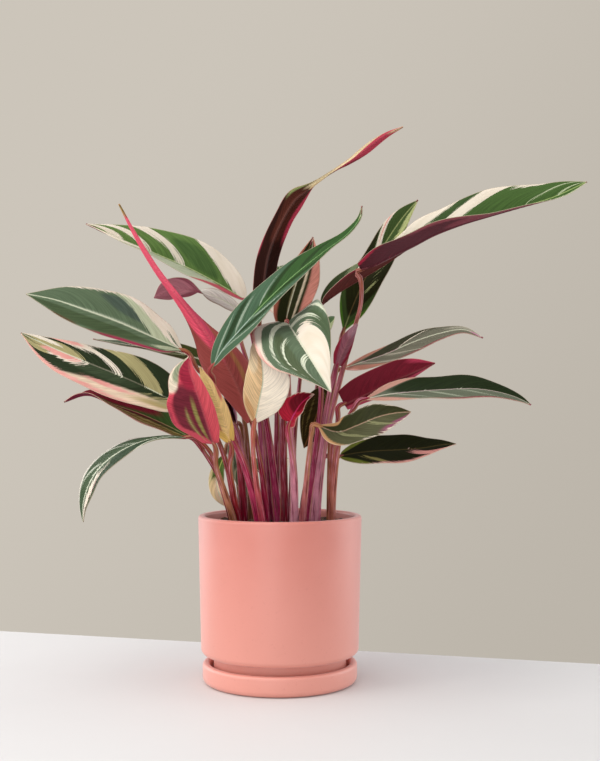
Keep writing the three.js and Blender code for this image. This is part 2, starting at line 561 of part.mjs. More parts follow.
// The points of a blade's mid-surface and its normals there, as rows from the stalk to the tip.
function bladeRows(leaf, across) {
  const curve = new THREE.CatmullRomCurve3(leaf.rib.map(seen), false, "centripetal");
  const steps = THREE.MathUtils.clamp(Math.round(curve.getLength() / BLADE_STEP), 6, 12);
  const rows = [];
  for (let i = 0; i <= steps; i++) {
    const u = i / steps;
    const centre = curve.getPointAt(u);
    const along = curve.getTangentAt(u);
    const face = new THREE.Vector3(...valuesAt(leaf.face, u));
    face.addScaledVector(along, -face.dot(along)).normalize();
    const right = new THREE.Vector3().crossVectors(along, face);
    const shares = leaf.shape ? valuesAt(leaf.shape, u) : [outline(u, leaf.widest), outline(u, leaf.widest)];
    const folds = valuesAt(leaf.fold, u);
    const curls = valuesAt(leaf.curl, u);
    const row = [];
    for (const [side, sign] of [[0, -1], [1, 1]]) {
      const neck = BLADE_NECK * (1 - 0.7 * u);
      const breadth = neck + (leaf.half - neck) * shares[side];
      const point = centre.clone();
      for (let j = 1; j <= across; j++) {
        const angle = THREE.MathUtils.degToRad(folds[side] + (curls[side] * (j - 0.5)) / across);
        point.addScaledVector(right, (sign * Math.cos(angle) * breadth) / across);
        point.addScaledVector(face, (Math.sin(angle) * breadth) / across);
        const normal = face.clone().multiplyScalar(Math.cos(angle));
        normal.addScaledVector(right, -sign * Math.sin(angle));
        const ripple = Math.sin(2 * Math.PI * (2.5 * u + 0.3 * sign)) * (j / across) ** 2 * shares[side];
        row.push({ at: point.clone().addScaledVector(normal, leaf.wave * ripple), normal });
      }
      if (side === 0) row.reverse().push({ at: centre.clone(), normal: face.clone() });
    }
    rows.push(row);
  }
  return rows;
}

// A blade as a closed thin solid, with its upper and under side split into triangles alike.
function bladeGeometry(leaf) {
  const mostCurl = Math.max(...leaf.curl.flat());
  const across = mostCurl > 100 ? 4 : mostCurl > 35 ? 3 : 2;
  const rows = bladeRows(leaf, across);
  const columns = rows[0].length;
  const positions = [];
  for (const offset of [BLADE_THICKNESS / 2, -BLADE_THICKNESS / 2])
    for (const row of rows)
      for (const { at, normal } of row) positions.push(...at.clone().addScaledVector(normal, offset).toArray());
  const under = rows.length * columns;
  const upper = (i, j) => i * columns + j;
  const index = [];
  const quad = (a, b, c, d) => index.push(a, b, c, a, c, d);
  for (let i = 0; i + 1 < rows.length; i++)
    for (let j = 0; j + 1 < columns; j++) {
      const [a, b, c, d] = [upper(i, j), upper(i, j + 1), upper(i + 1, j + 1), upper(i + 1, j)];
      index.push(a, b, c, a, c, d);
      index.push(a + under, c + under, b + under, a + under, d + under, c + under);
    }
  for (let i = 0; i + 1 < rows.length; i++) {
    const [a, b] = [upper(i, 0), upper(i + 1, 0)];
    quad(a, b, b + under, a + under);
    const [c, d] = [upper(i, columns - 1), upper(i + 1, columns - 1)];
    quad(d, c, c + under, d + under);
  }
  for (let j = 0; j + 1 < columns; j++) {
    const [a, b] = [upper(0, j), upper(0, j + 1)];
    quad(b, a, a + under, b + under);
    const [c, d] = [upper(rows.length - 1, j), upper(rows.length - 1, j + 1)];
    quad(c, d, d + under, c + under);
  }
  const geometry = new THREE.BufferGeometry();
  geometry.setAttribute("position", new THREE.Float32BufferAttribute(positions, 3));
  geometry.setIndex(index);
  geometry.computeVertexNormals();
  return geometry;
}

// ---------------------------------------------------------------- assembly

const potPink = { color: 0xe8958b, roughness: 0.55 };
const soilBrown = { color: 0x2e241c, roughness: 0.95 };
const stalkCrimson = { color: 0x9a4258, roughness: 0.5 };
const bladeGreen = { color: 0x3f6b45, roughness: 0.45 };

const plant = new THREE.Group();

function place(name, geometry, finish) {
  const mesh = new THREE.Mesh(geometry, new THREE.MeshStandardMaterial({ ...finish, metalness: 0 }));
  mesh.name = name;
  plant.add(mesh);
}

place("saucer", saucerGeometry(), potPink);
place("pot", potGeometry(), potPink);

// The stalks of one shoot grow from one crown, so they are one solid.
const holes = [];
for (const shoot of new Set(Object.values(LEAVES).map((leaf) => leaf.shoot))) {
  const leaves = Object.values(LEAVES).filter((leaf) => leaf.shoot === shoot);
  const crown = [0, 1].map((k) => leaves.reduce((sum, leaf) => sum + leaf.foot[k], 0) / leaves.length);
  const stalks = leaves.map((leaf) => stalkSolid(leaf, crown)).reduce((all, one) => all.add(one));
  holes.push(...leaves.map((leaf) => stalkSolid(leaf, crown, CLEARANCE)));
  place("stalks_" + shoot, geometryOf(stalks), stalkCrimson);
}
place("soil", geometryOf(soilSolid(holes)), soilBrown);

for (const [name, leaf] of Object.entries(LEAVES)) place("blade_" + name, bladeGeometry(leaf), bladeGreen);

export default plant;
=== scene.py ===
import math
import random

import bmesh
import bpy
import numpy as np
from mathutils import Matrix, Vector, noise


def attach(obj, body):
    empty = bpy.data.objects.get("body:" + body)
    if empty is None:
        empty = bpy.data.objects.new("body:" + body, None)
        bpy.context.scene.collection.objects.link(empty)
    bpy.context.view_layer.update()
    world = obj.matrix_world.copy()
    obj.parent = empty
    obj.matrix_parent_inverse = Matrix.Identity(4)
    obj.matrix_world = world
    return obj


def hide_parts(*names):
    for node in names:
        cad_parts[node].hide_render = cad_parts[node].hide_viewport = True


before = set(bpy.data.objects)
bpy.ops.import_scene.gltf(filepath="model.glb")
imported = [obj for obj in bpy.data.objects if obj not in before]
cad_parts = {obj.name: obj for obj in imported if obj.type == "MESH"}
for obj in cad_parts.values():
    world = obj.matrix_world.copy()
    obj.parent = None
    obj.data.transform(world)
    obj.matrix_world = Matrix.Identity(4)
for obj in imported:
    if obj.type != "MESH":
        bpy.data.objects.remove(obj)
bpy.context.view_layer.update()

# ---------------------------------------------------------------- the saucer
#
# A low round dish of stoneware, pressed in a mould and sprayed with a matt coral glaze. It stands loose
# on the table and catches what drains from the pot.

TURN_SIDES = 160  # facets round the saucer and the pot
SAUCER_RADIUS = 0.077
SAUCER_HEIGHT = 0.020
SAUCER_WALL = 0.0075
SAUCER_FLOOR = 0.006
SAUCER_CORNER = 0.006
SAUCER_LIP = 0.0035
SAUCER_COVE = 0.003  # inside, where the wall meets the floor
FLOOR_RING = 0.5  # a ring of facets in the floor is this share of the one round it
UNDERSIDE_RING = 0.6
NEAR = 1e-4  # two places closer than this are the same

# The sockets that a kind of node is given in order, the output wanted of it, and its usual settings.
USUAL = {
    "Bump": (("Height", "Strength", "Distance"), "Normal", {}),
    "HueSaturation": (("Color", "Value", "Saturation"), "Color", {}),
    "MapRange": (("Value", "From Min", "From Max", "To Min", "To Max"), "Result", {}),
    "Mapping": (("Vector", "Scale", "Location"), "Vector", {}),
    "Math": (("Value", "Value_001", "Value_002"), "Value", {}),
    "Mix": (("Factor", "A_Color", "B_Color"), "Result_Color", {"data_type": "RGBA"}),
    "SeparateXYZ": (("Vector",), None, {}),
    "TexNoise": (("Vector", "Scale", "Detail", "Roughness"), "Fac", {}),
}


def linear(colour):
    """The linear RGBA of an sRGB hex colour."""
    parts = [int(colour[i:i + 2], 16) / 255 for i in (1, 3, 5)]
    return tuple(p / 12.92 if p <= 0.04045 else ((p + 0.055) / 1.055) ** 2.4 for p in parts) + (1.0,)


def add(tree, kind, sockets=(), give=None, **settings):
    """Adds a shader node with its settings, sets or links its sockets, and gives its wanted output."""
    order, output, usual = USUAL.get(kind, ((), None, {}))
    made = tree.nodes.new("ShaderNode" + kind)
    for name, value in {**usual, **settings}.items():
        setattr(made, name, value)
    for key, value in sockets.items() if isinstance(sockets, dict) else zip(order, sockets):
        socket = next(s for s in made.inputs if key in (s.identifier, s.name))
        if isinstance(value, bpy.types.NodeSocket):
            tree.links.new(value, socket)
        else:
            socket.default_value = value
    if give or output:
        return next(s for s in made.outputs if (give or output) in (s.identifier, s.name))
    return made.outputs[0] if made.outputs else made


def new_material(name):
    """A material with nothing in its node tree yet."""
    made = bpy.data.materials.new(name)
    made.use_nodes = True
    made.node_tree.nodes.clear()
    return made, made.node_tree


def cylinder(name, radius, bottom, top, sides=TURN_SIDES):
    """A closed upright cylinder on the pot's axis, open in edit mode."""
    bpy.ops.object.select_all(action="DESELECT")
    bpy.ops.mesh.primitive_cylinder_add(
        vertices=sides, radius=radius, depth=top - bottom, location=(0, 0, (top + bottom) / 2))
    made = bpy.context.object
    made.name = made.data.name = name
    bpy.ops.object.transform_apply(location=True, rotation=True, scale=True)
    bpy.ops.object.mode_set(mode="EDIT")
    return made


def pick(kind, wanted, more=False):
    """In edit mode, selects the "faces" or "edges" whose corners' places are wanted."""
    bpy.ops.mesh.select_mode(type=kind[:-1].upper())
    if not more:
        bpy.ops.mesh.select_all(action="DESELECT")
    mesh = bpy.context.edit_object.data
    net = bmesh.from_edit_mesh(mesh)
    for part in getattr(net, kind):
        if wanted([corner.co for corner in part.verts]):
            part.select_set(True)
    net.select_flush_mode()
    bmesh.update_edit_mesh(mesh)


def pick_cap(height, more=False):
    """Selects the one large flat face across the axis at a height."""
    pick("faces", lambda at: len(at) > 4 and all(abs(p.z - height) < NEAR for p in at), more)


def draw_out(rise, growth=1.0):
    """Extrudes the selected cap up by rise, and makes it growth times as wide."""
    bpy.ops.mesh.extrude_region_move(TRANSFORM_OT_translate={"value": (0, 0, rise)})
    bpy.ops.transform.resize(value=(growth, growth, 1), center_override=(0, 0, 0))


def round_ring(radius, height, size, segments=8):
    """Rounds the ring of edges at a radius and a height."""
    pick("edges", lambda at: all(
        abs(p.z - height) < NEAR and abs(math.hypot(p.x, p.y) - radius) < NEAR for p in at))
    bpy.ops.mesh.bevel(offset=size, offset_type="OFFSET", segments=segments, affect="EDGES")


def finish_shape(made, sharp=35):
    """Leaves edit mode with the faces outwards, and shades smooth what isn't sharp."""
    bpy.ops.mesh.select_all(action="SELECT")
    bpy.ops.mesh.normals_make_consistent(inside=False)
    bpy.ops.object.mode_set(mode="OBJECT")
    bpy.ops.object.shade_smooth_by_angle(angle=math.radians(sharp))
    return made


# Matt coral glaze over stoneware: sprayed on and fired without gloss. It reads as one soft pink, faintly
# clouded where the spray was thicker, with a fine tooth that spreads every highlight wide. Towards the foot
# and on the saucer it is painted paler, as painted light standing in for light bounced up from the table.
GLAZE_PINK = "#D67F71"
GLAZE_THIN = "#D17869"
# Painted light: a paler pink laid on towards the foot and on the saucer, standing in for light bounced up
# from the table.
GLAZE_PAINTED_BOUNCE = "#E39585"
GLAZE_SPECK = "#C9776B"
PAINTED_BOUNCE_TOP = 0.15  # where the painted bounce light has faded out
CLOUD_SIZE = 0.05
TOOTH_SIZE = 0.0011  # the tooth is finer, and is drawn this coarse so that it shows
TOOTH_DEPTH = 0.0002
SPECK_SIZE = 0.0035

glaze, tree = new_material("matt_coral_glaze")
place = add(tree, "TexCoord", give="Object")
cloud = add(tree, "TexNoise", (place, 1 / CLOUD_SIZE, 3))
tooth = add(tree, "TexNoise", (place, 1 / TOOTH_SIZE, 2))
speck = add(tree, "TexNoise", (place, 1 / SPECK_SIZE, 4))
height = add(tree, "SeparateXYZ", (place,), give="Z")
thick = add(tree, "MapRange", (cloud, 0.3, 0.7))
# The share of the painted bounce light: full on the saucer, fading out up the pot.
foot = add(tree, "MapRange", (height, 0, PAINTED_BOUNCE_TOP, 1, 0))
specks = add(tree, "MapRange", (speck, 0.62, 0.78, 0, 0.35))
pink = add(tree, "Mix", (thick, linear(GLAZE_THIN), linear(GLAZE_PINK)))
pink = add(tree, "Mix", (foot, pink, linear(GLAZE_PAINTED_BOUNCE)))
pink = add(tree, "Mix", (specks, pink, linear(GLAZE_SPECK)))
add(tree, "OutputMaterial", {"Surface": add(tree, "BsdfPrincipled", {
    "Base Color": pink,
    "Roughness": add(tree, "MapRange", (cloud, 0, 1, 0.4, 0.5)),
    "IOR": 1.8,
    "Sheen Weight": 0.3,
    "Sheen Roughness": 0.4,
    "Normal": add(tree, "Bump", (tooth, 0.25, TOOTH_DEPTH)),
})})

saucer = cylinder("saucer_dish", SAUCER_RADIUS, 0, SAUCER_HEIGHT)
inner_radius = SAUCER_RADIUS - SAUCER_WALL
pick_cap(SAUCER_HEIGHT)
draw_out(0, inner_radius / SAUCER_RADIUS)
draw_out(SAUCER_FLOOR - SAUCER_HEIGHT)
draw_out(0, FLOOR_RING)
draw_out(0, FLOOR_RING)
pick_cap(0)
draw_out(0, UNDERSIDE_RING)
round_ring(SAUCER_RADIUS, 0, SAUCER_CORNER)
round_ring(SAUCER_RADIUS, SAUCER_HEIGHT, SAUCER_LIP)
round_ring(inner_radius, SAUCER_HEIGHT, SAUCER_LIP)
round_ring(inner_radius, SAUCER_FLOOR, SAUCER_COVE)
finish_shape(saucer)
saucer.data.materials.append(glaze)
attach(saucer, "root")
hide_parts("saucer")

# ---------------------------------------------------------------- the pot
#
# A straight stoneware cylinder in the same matt glaze, cast with a narrower foot. The foot stands in the
# saucer on a ring with a hollow inside it, and has a drain hole in the middle.

POT_RADIUS = 0.0815
POT_FOOT_RADIUS = 0.0785  # outside, where the wall meets the underside
POT_HEIGHT = 0.1655
POT_WALL = 0.0075
POT_FLOOR = 0.008
POT_BELLY = 0.028  # underside of the wall, above the table
POT_CORNER = 0.006
POT_LIP = 0.003
STAND_RADIUS = 0.066
STAND_RING = 0.008
STAND_HOLLOW = 0.003
STAND_CORNER = 0.0015
DRAIN_RADIUS = 0.007

pot = cylinder("pot_cylinder", STAND_RADIUS, SAUCER_FLOOR, POT_BELLY)
inner_radius = POT_RADIUS - POT_WALL
inner_floor = POT_BELLY + POT_FLOOR
pick_cap(POT_BELLY)
draw_out(0, POT_FOOT_RADIUS / STAND_RADIUS)
draw_out(POT_HEIGHT - POT_BELLY, POT_RADIUS / POT_FOOT_RADIUS)
draw_out(0, inner_radius / POT_RADIUS)
draw_out(inner_floor - POT_HEIGHT)
draw_out(0, DRAIN_RADIUS / inner_radius)
pick_cap(SAUCER_FLOOR)
draw_out(0, (STAND_RADIUS - STAND_RING) / STAND_RADIUS)
draw_out(STAND_HOLLOW, 1 - STAND_HOLLOW / 2 / (STAND_RADIUS - STAND_RING))
draw_out(0, DRAIN_RADIUS / (STAND_RADIUS - STAND_RING - STAND_HOLLOW / 2))
pick_cap(inner_floor)
pick_cap(SAUCER_FLOOR + STAND_HOLLOW, more=True)
bpy.ops.mesh.bridge_edge_loops()
round_ring(POT_FOOT_RADIUS, POT_BELLY, POT_CORNER)
round_ring(POT_RADIUS, POT_HEIGHT, POT_LIP)
round_ring(inner_radius, POT_HEIGHT, POT_LIP)
round_ring(inner_radius, inner_floor, POT_CORNER)
round_ring(STAND_RADIUS, SAUCER_FLOOR, STAND_CORNER, segments=4)
finish_shape(pot)
pot.data.materials.append(glaze)
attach(pot, "root")
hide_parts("pot")

# ---------------------------------------------------------------- the soil
#
# Potting mix of dark moist peat with crumbs of pine bark, filled in by hand and pressed down a little below
# the rim, where it settles in lumps.

SOIL_SIDES = 128
SOIL_HEIGHT = 0.157
SOIL_GAP = 0.0003  # clear of the pot's wall and floor
SOIL_RING = 0.0022  # from one ring of facets to the next
SOIL_RELIEF = 0.0016
BROAD_LUMPS = (0.21, 0.19)  # how fast the lumps rise and fall across and back, in radians a millimetre
SMALL_LUMPS = (0.47, 0.39)
SMALL_SHARE = 0.6  # of the broad lumps' height
CRUMB_SIZE = 0.006
CRUMB_RELIEF = 0.0011
CRUMB_SERIES = (0.8, 2.2, 4)  # how finer crumbs lose height, how much finer each is, and how many there are

soil_radius = POT_RADIUS - POT_WALL - SOIL_GAP


def soil_top(x, y):
    """The height of the soil's uneven top, broad lumps and crumbs together."""
    across, back = x * 1000, y * 1000
    lumps = math.sin(across * BROAD_LUMPS[0] + 1) * math.cos(back * BROAD_LUMPS[1])
    lumps += SMALL_SHARE * math.sin(across * SMALL_LUMPS[0] - back * SMALL_LUMPS[1])
    lumps *= 1 - math.hypot(x, y) / soil_radius / 2
    crumbs = noise.fractal(Vector((x, y, 0)) / CRUMB_SIZE, *CRUMB_SERIES)
    return SOIL_HEIGHT + SOIL_RELIEF * lumps + CRUMB_RELIEF * crumbs


soil = cylinder("potting_mix", soil_radius, inner_floor + SOIL_GAP, SOIL_HEIGHT, sides=SOIL_SIDES)
pick_cap(SOIL_HEIGHT)
for ring in range(int(soil_radius / SOIL_RING) - 1):
    bpy.ops.mesh.inset(thickness=SOIL_RING)
bpy.ops.mesh.poke()
round_ring(soil_radius, inner_floor + SOIL_GAP, POT_CORNER)
finish_shape(soil, sharp=60)
for corner in soil.data.vertices:
    if corner.co.z > SOIL_HEIGHT - NEAR:
        corner.co.z = soil_top(corner.co.x, corner.co.y)

# Moist peat with bark crumbs: near black in its pores, dark brown on its crumbs, paler where it has begun
# to dry, and matt all over.
PEAT_DARK = "#17110D"
PEAT_BROWN = "#3A2A20"
PEAT_LIGHT = "#6B5140"
PEAT_CRUMB = 0.0028
PEAT_GRIT = 0.0016
PEAT_PATCH = 0.02

peat, tree = new_material("moist_peat_and_bark")
place = add(tree, "TexCoord", give="Object")
crumbs = add(tree, "TexVoronoi", {"Vector": place, "Scale": 1 / PEAT_CRUMB}, give="Distance")
grit = add(tree, "TexNoise", (place, 1 / PEAT_GRIT, 5, 0.7))
patches = add(tree, "TexNoise", (place, 1 / PEAT_PATCH, 2))
grains = add(tree, "MapRange", (grit, 0.35, 0.7))
dry = add(tree, "MapRange", (patches, 0.52, 0.75, 0, 0.55))
brown = add(tree, "Mix", (grains, linear(PEAT_DARK), linear(PEAT_BROWN)))
brown = add(tree, "Mix", (dry, brown, linear(PEAT_LIGHT)))
add(tree, "OutputMaterial", {"Surface": add(tree, "BsdfPrincipled", {
    "Base Color": brown,
    "Roughness": add(tree, "MapRange", (grit, 0, 1, 0.75, 0.98)),
    "Normal": add(tree, "Bump", (crumbs, 0.8, 0.0015)),
})})
soil.data.materials.append(peat)
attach(soil, "root")
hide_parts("soil")

# ---------------------------------------------------------------- the bark chips
#
# Chips of pine bark, broken and screened to a few millimetres, which came up to the top of the potting
# mix when it was watered. They lie loose on it.

CHIP_COUNT = 260
CHIP_SEED = 41
CHIP_SIZES = (0.0009, 0.0034)
CHIP_SPREAD = 0.97  # how far out they lie, as a share of the soil's radius
CHIP_PROUD = 0.15  # how high a chip's middle is above the soil, as a share of its size
CHIP_TILT = 0.5
CHIP_TURN = 6.3  # a full turn, about
CHIP_LENGTHS = (0.9, 1.7)
CHIP_WIDTHS = (0.5, 0.9)
CHIP_DEPTHS = (0.25, 0.5)
CHIP_BREAKS = 0.28  # how uneven a chip is, as a share of its size
CHIP_BREAK_SIZE = 0.9  # how far apart its breaks are, as a share of its size
CHIP_BREAK_STEP = (0.37, 0.11, 0)  # from one chip's breaks to the next one's, in the same noise

chance = random.Random(CHIP_SEED)
noise.seed_set(CHIP_SEED)
chips = []
for chip in range(CHIP_COUNT):
    reach = soil_radius * CHIP_SPREAD * math.sqrt(chance.random())
    turn = chance.uniform(0, 2 * math.pi)
    x, y = reach * math.cos(turn), reach * math.sin(turn)
    size = chance.uniform(*CHIP_SIZES)
    bpy.ops.object.select_all(action="DESELECT")
    bpy.ops.mesh.primitive_ico_sphere_add(
        subdivisions=2, radius=size, location=(x, y, soil_top(x, y) + size * CHIP_PROUD))
    made = bpy.context.object
    tilts = chance.uniform(-CHIP_TILT, CHIP_TILT), chance.uniform(-CHIP_TILT, CHIP_TILT)
    made.rotation_euler = (*tilts, chance.uniform(0, CHIP_TURN))
    made.scale = [chance.uniform(*sizes) for sizes in (CHIP_LENGTHS, CHIP_WIDTHS, CHIP_DEPTHS)]
    bpy.ops.object.transform_apply(location=True, rotation=True, scale=True)
    shift = Vector([chip * step for step in CHIP_BREAK_STEP])
    for corner in made.data.vertices:
        spot = corner.co / (size * CHIP_BREAK_SIZE) + shift
        corner.co += noise.noise_vector(spot) * size * CHIP_BREAKS
    chips.append(made)
for made in chips:
    made.select_set(True)
bpy.ops.object.join()
chips = bpy.context.object
chips.name = chips.data.name = "bark_chips"
bpy.ops.object.transform_apply(location=True, rotation=True, scale=True)
bpy.ops.object.shade_smooth_by_angle(angle=math.radians(30))

# Pine bark: each chip its own warm brown, dry and matt, with darker grain along it.
BARK_DARK = "#3B2519"
BARK_LIGHT = "#7C5A40"
BARK_GRAIN = "#24170F"
GRAIN_SIZE = 0.0012
CHIP_APART = 0.008  # chips this far apart differ in shade

bark, tree = new_material("pine_bark_chips")
place = add(tree, "TexCoord", give="Object")
grain = add(tree, "TexNoise", (place, 1 / GRAIN_SIZE, 4))
each = add(tree, "TexNoise", (place, 1 / CHIP_APART, 0))
lightness = add(tree, "MapRange", (each, 0.35, 0.65))
lines = add(tree, "MapRange", (grain, 0.45, 0.7, 0, 0.7))
shade = add(tree, "Mix", (lightness, linear(BARK_DARK), linear(BARK_LIGHT)))
shade = add(tree, "Mix", (lines, shade, linear(BARK_GRAIN)))
add(tree, "OutputMaterial", {"Surface": add(tree, "BsdfPrincipled", {
    "Base Color": shade,
    "Roughness": add(tree, "MapRange", (grain, 0, 1, 0.6, 0.85)),
    "Normal": add(tree, "Bump", (grain, 0.6, 0.0004)),
})})
chips.data.materials.append(bark)
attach(chips, "root")

# ---------------------------------------------------------------- shoot: left_inner
#
# A Stromanthe shoot: its leaf stalks clasp one another at a crown in the soil, and each carries one long
# blade on a short swollen joint. A blade is living tissue on a stout midrib, variegated green, cream and
# pink in strokes along its side veins, and wine red beneath.

EYE = (20.0, -1155.0, 271.0)  # where the plant is seen from, in millimetres
BLADE_STEP = 0.002  # length of a facet along the rib, about
BLADE_STEPS = (40, 120)  # fewest and most facets along a rib
BLADE_SIDE = 18  # facets from the midrib to a margin
BLADE_FINER = 1.15  # facets are this power finer near the midrib
BLADE_NECK = 0.0014  # half-width where a blade meets its stalk
NECK_TAPER = 0.7
BASE_ROUND = 0.62  # the powers of an outline's round base and of its pointed tip
TIP_POINT = 1.05
RIB_THICKNESS = 0.0024
SKIN_THICKNESS = 0.0005
RIB_WIDTH = 0.0012
RIB_TAPER = 0.75
VEIN_SLANT = 0.28
VEIN_BEND = 1.4
CURL = [[-10, -10]]
BAND = "#A9B28E"
WHOLE_HALF = (-0.2, 2)  # from inside the midrib to outside the margin
STROKE_HALF = 0.004  # a stroke counts as at least this deep, or streaks would tear small ones apart
FAR_OUTSIDE = -0.03  # the depth where there is no stroke
TINT_EDGE = 0.003
RIPPLES = 2.5  # waves along each margin
RIPPLE_SHIFT = 0.3  # of a wave, towards the base on the right margin and towards the tip on the left
PLEAT = 0.0068  # from one raised side vein to the next
PLEAT_HEIGHT = 0.00028
PLEAT_FULL = 0.012  # a half narrower than this has shallower pleats
STALK_SIDES = 16
STALK_STEPS = 64
STALK_TOP = 0.0021  # a stalk's radius where it meets its blade
STALK_APPROACH = 0.006  # the last of a stalk is in line with the midrib
STALK_UNDER = 0.005  # how far it runs on under the blade, and how far below the midrib
STALK_BELOW = 0.0006
STALK_FLAT = 1.25  # how flattened a stalk is at the soil
SLIM_PACE = 1.25  # a stalk is slender from 1 / 1.25 of its length up
SLIM_EASE = 0.8  # the power by which it narrows up to there
SWELLING = 0.28  # the joint under a blade: its share of the radius, place and half-length
SWELLING_PLACE = 0.017
SWELLING_HALF = 0.008
STALK_END = 0.006  # the last of a stalk narrows to this share
STALK_END_SHARE = 0.25
GROOVES = 6
GROOVE_DEPTH = 0.035
ROOT_DEPTH = 0.030
SPAN_STEPS = 40


def seen(point):
    """The place, in metres, of a point given across, up and back as seen by the eye."""
    across, up, back = point
    spread = (back - EYE[1]) / -EYE[1]
    return np.array([EYE[0] + (across - EYE[0]) * spread, back, EYE[2] + (up - EYE[2]) * spread]) / 1000


def unit(vectors):
    """Vectors in the same directions, one long."""
    return vectors / np.linalg.norm(vectors, axis=-1, keepdims=True)


def smooth_line(points, shares):
    """Places and directions at shares of the length of a smooth line through points, and its length."""
    knots = [2 * points[0] - points[1], *points, 2 * points[-1] - points[-2]]
    path = []
    for a, b, c, d in zip(knots, knots[1:], knots[2:], knots[3:]):
        ta, tb, tc = (math.sqrt(np.linalg.norm(q - p)) for p, q in ((a, b), (b, c), (c, d)))
        start = ((b - a) / ta - (c - a) / (ta + tb) + (c - b) / tb) * tb
        end = ((c - b) / tb - (d - b) / (tb + tc) + (d - c) / tc) * tb
        square, cube = 3 * (c - b) - 2 * start - end, 2 * (b - c) + start + end
        path += [b + start * t + square * t**2 + cube * t**3 for t in np.arange(SPAN_STEPS) / SPAN_STEPS]
    path = np.array([*path, points[-1]])
    reach = np.concatenate([[0], np.cumsum(np.linalg.norm(np.diff(path, axis=0), axis=1))])
    along = unit(np.gradient(path, reach, axis=0))
    wanted = np.asarray(shares) * reach[-1]
    places, ways = (
        np.stack([np.interp(wanted, reach, of[:, k]) for k in range(3)], axis=1) for of in (path, along))
    return places, unit(ways), reach[-1]


def values_at(values, shares):
    """What values at even steps along the rib give at shares of its length, blended smoothly."""
    rows = np.array(values, float)
    if len(rows) == 1:
        return np.repeat(rows, len(shares), axis=0)
    at = np.asarray(shares) * (len(rows) - 1)
    step = np.minimum(at.astype(int), len(rows) - 2)
    t = (at - step)[:, None]
    rows = np.vstack([2 * rows[0] - rows[1], rows, 2 * rows[-1] - rows[-2]])
    a, b, c, d = (rows[step + k] for k in range(4))
    return b + 0.5 * t * (c - a + t * (2 * a - 5 * b + 4 * c - d + t * (3 * (b - c) + d - a)))


def outline(u, widest):
    """How wide a blade is along its rib: rounded at the stalk, and drawn out to a point at the tip."""
    rising = (1 - (1 - np.minimum(u / widest, 1)) ** 2) ** BASE_ROUND
    falling = (1 - np.clip((u - widest) / (1 - widest), 0, 1) ** 2) ** TIP_POINT
    return np.where(u < widest, rising, falling)


def depth_in(strokes, root, out, left, long, half):
    """How deep, in metres, each place of a blade lies in the nearest of some strokes, below 0 outside."""
    depth = np.full(root.shape, FAR_OUTSIDE)
    for stroke in strokes:
        which, start, end, inner, outer = (*stroke, *WHOLE_HALF[len(stroke) - 3:])
        reach, width = (end - start) / 2, (outer - inner) / 2
        apart = (abs((root - start) / reach - 1) ** 3 + abs((out - inner) / width - 1) ** 3) ** (1 / 3)
        inside = (1 - apart) * max(min(reach * long, width * half), STROKE_HALF)
        if which != "both":
            inside = np.where(left == (which == "left"), inside, np.minimum(inside, -out * half))
        depth = np.maximum(depth, inside)
    return depth


def tinted(ground, tints, *place):
    """The ground colour at each place of a blade, with soft tints of another colour laid over it."""
    colour = np.broadcast_to(linear(ground), place[0].shape + (4,)).copy()
    for other, *stroke in tints:
        share = np.clip(0.5 + depth_in([stroke], *place) / TINT_EDGE, 0, 1)[..., None]
        share = share * share * (3 - 2 * share)
        colour += (np.array(linear(other)) - colour) * share
    return colour


def store(mesh, name, kind, values):
    """Stores one value or colour at each vertex under a name that the skins read."""
    layer = mesh.attributes.new(name, kind, "POINT")
    field = "value" if kind == "FLOAT" else "color"
    layer.data.foreach_set(field, np.ascontiguousarray(values, np.float32).ravel())


def grid(name, columns, rows):
    """A grid of facets, and which column and row each of its vertices is in."""
    bpy.ops.object.select_all(action="DESELECT")
    bpy.ops.mesh.primitive_grid_add(x_subdivisions=columns, y_subdivisions=rows, size=2)
    made = bpy.context.object
    made.name = made.data.name = name
    flat = np.empty(len(made.data.vertices) * 3)
    made.data.vertices.foreach_get("co", flat)
    flat = flat.reshape(-1, 3)
    column = np.rint((flat[:, 0] + 1) / 2 * columns).astype(int)
    row = np.rint((flat[:, 1] + 1) / 2 * rows).astype(int)
    return made, column, row


def set_places(made, places, across, along):
    """Moves a grid's vertices to their places, and lays its map by two lengths in metres."""
    mesh = made.data
    mesh.vertices.foreach_set("co", np.ascontiguousarray(places).ravel())
    corners = np.empty(len(mesh.loops), int)
    mesh.loops.foreach_get("vertex_index", corners)
    mesh.uv_layers[0].name = "skin"
    mesh.uv_layers[0].data.foreach_set("uv", np.stack([across, along], axis=1)[corners].ravel())
    mesh.update()


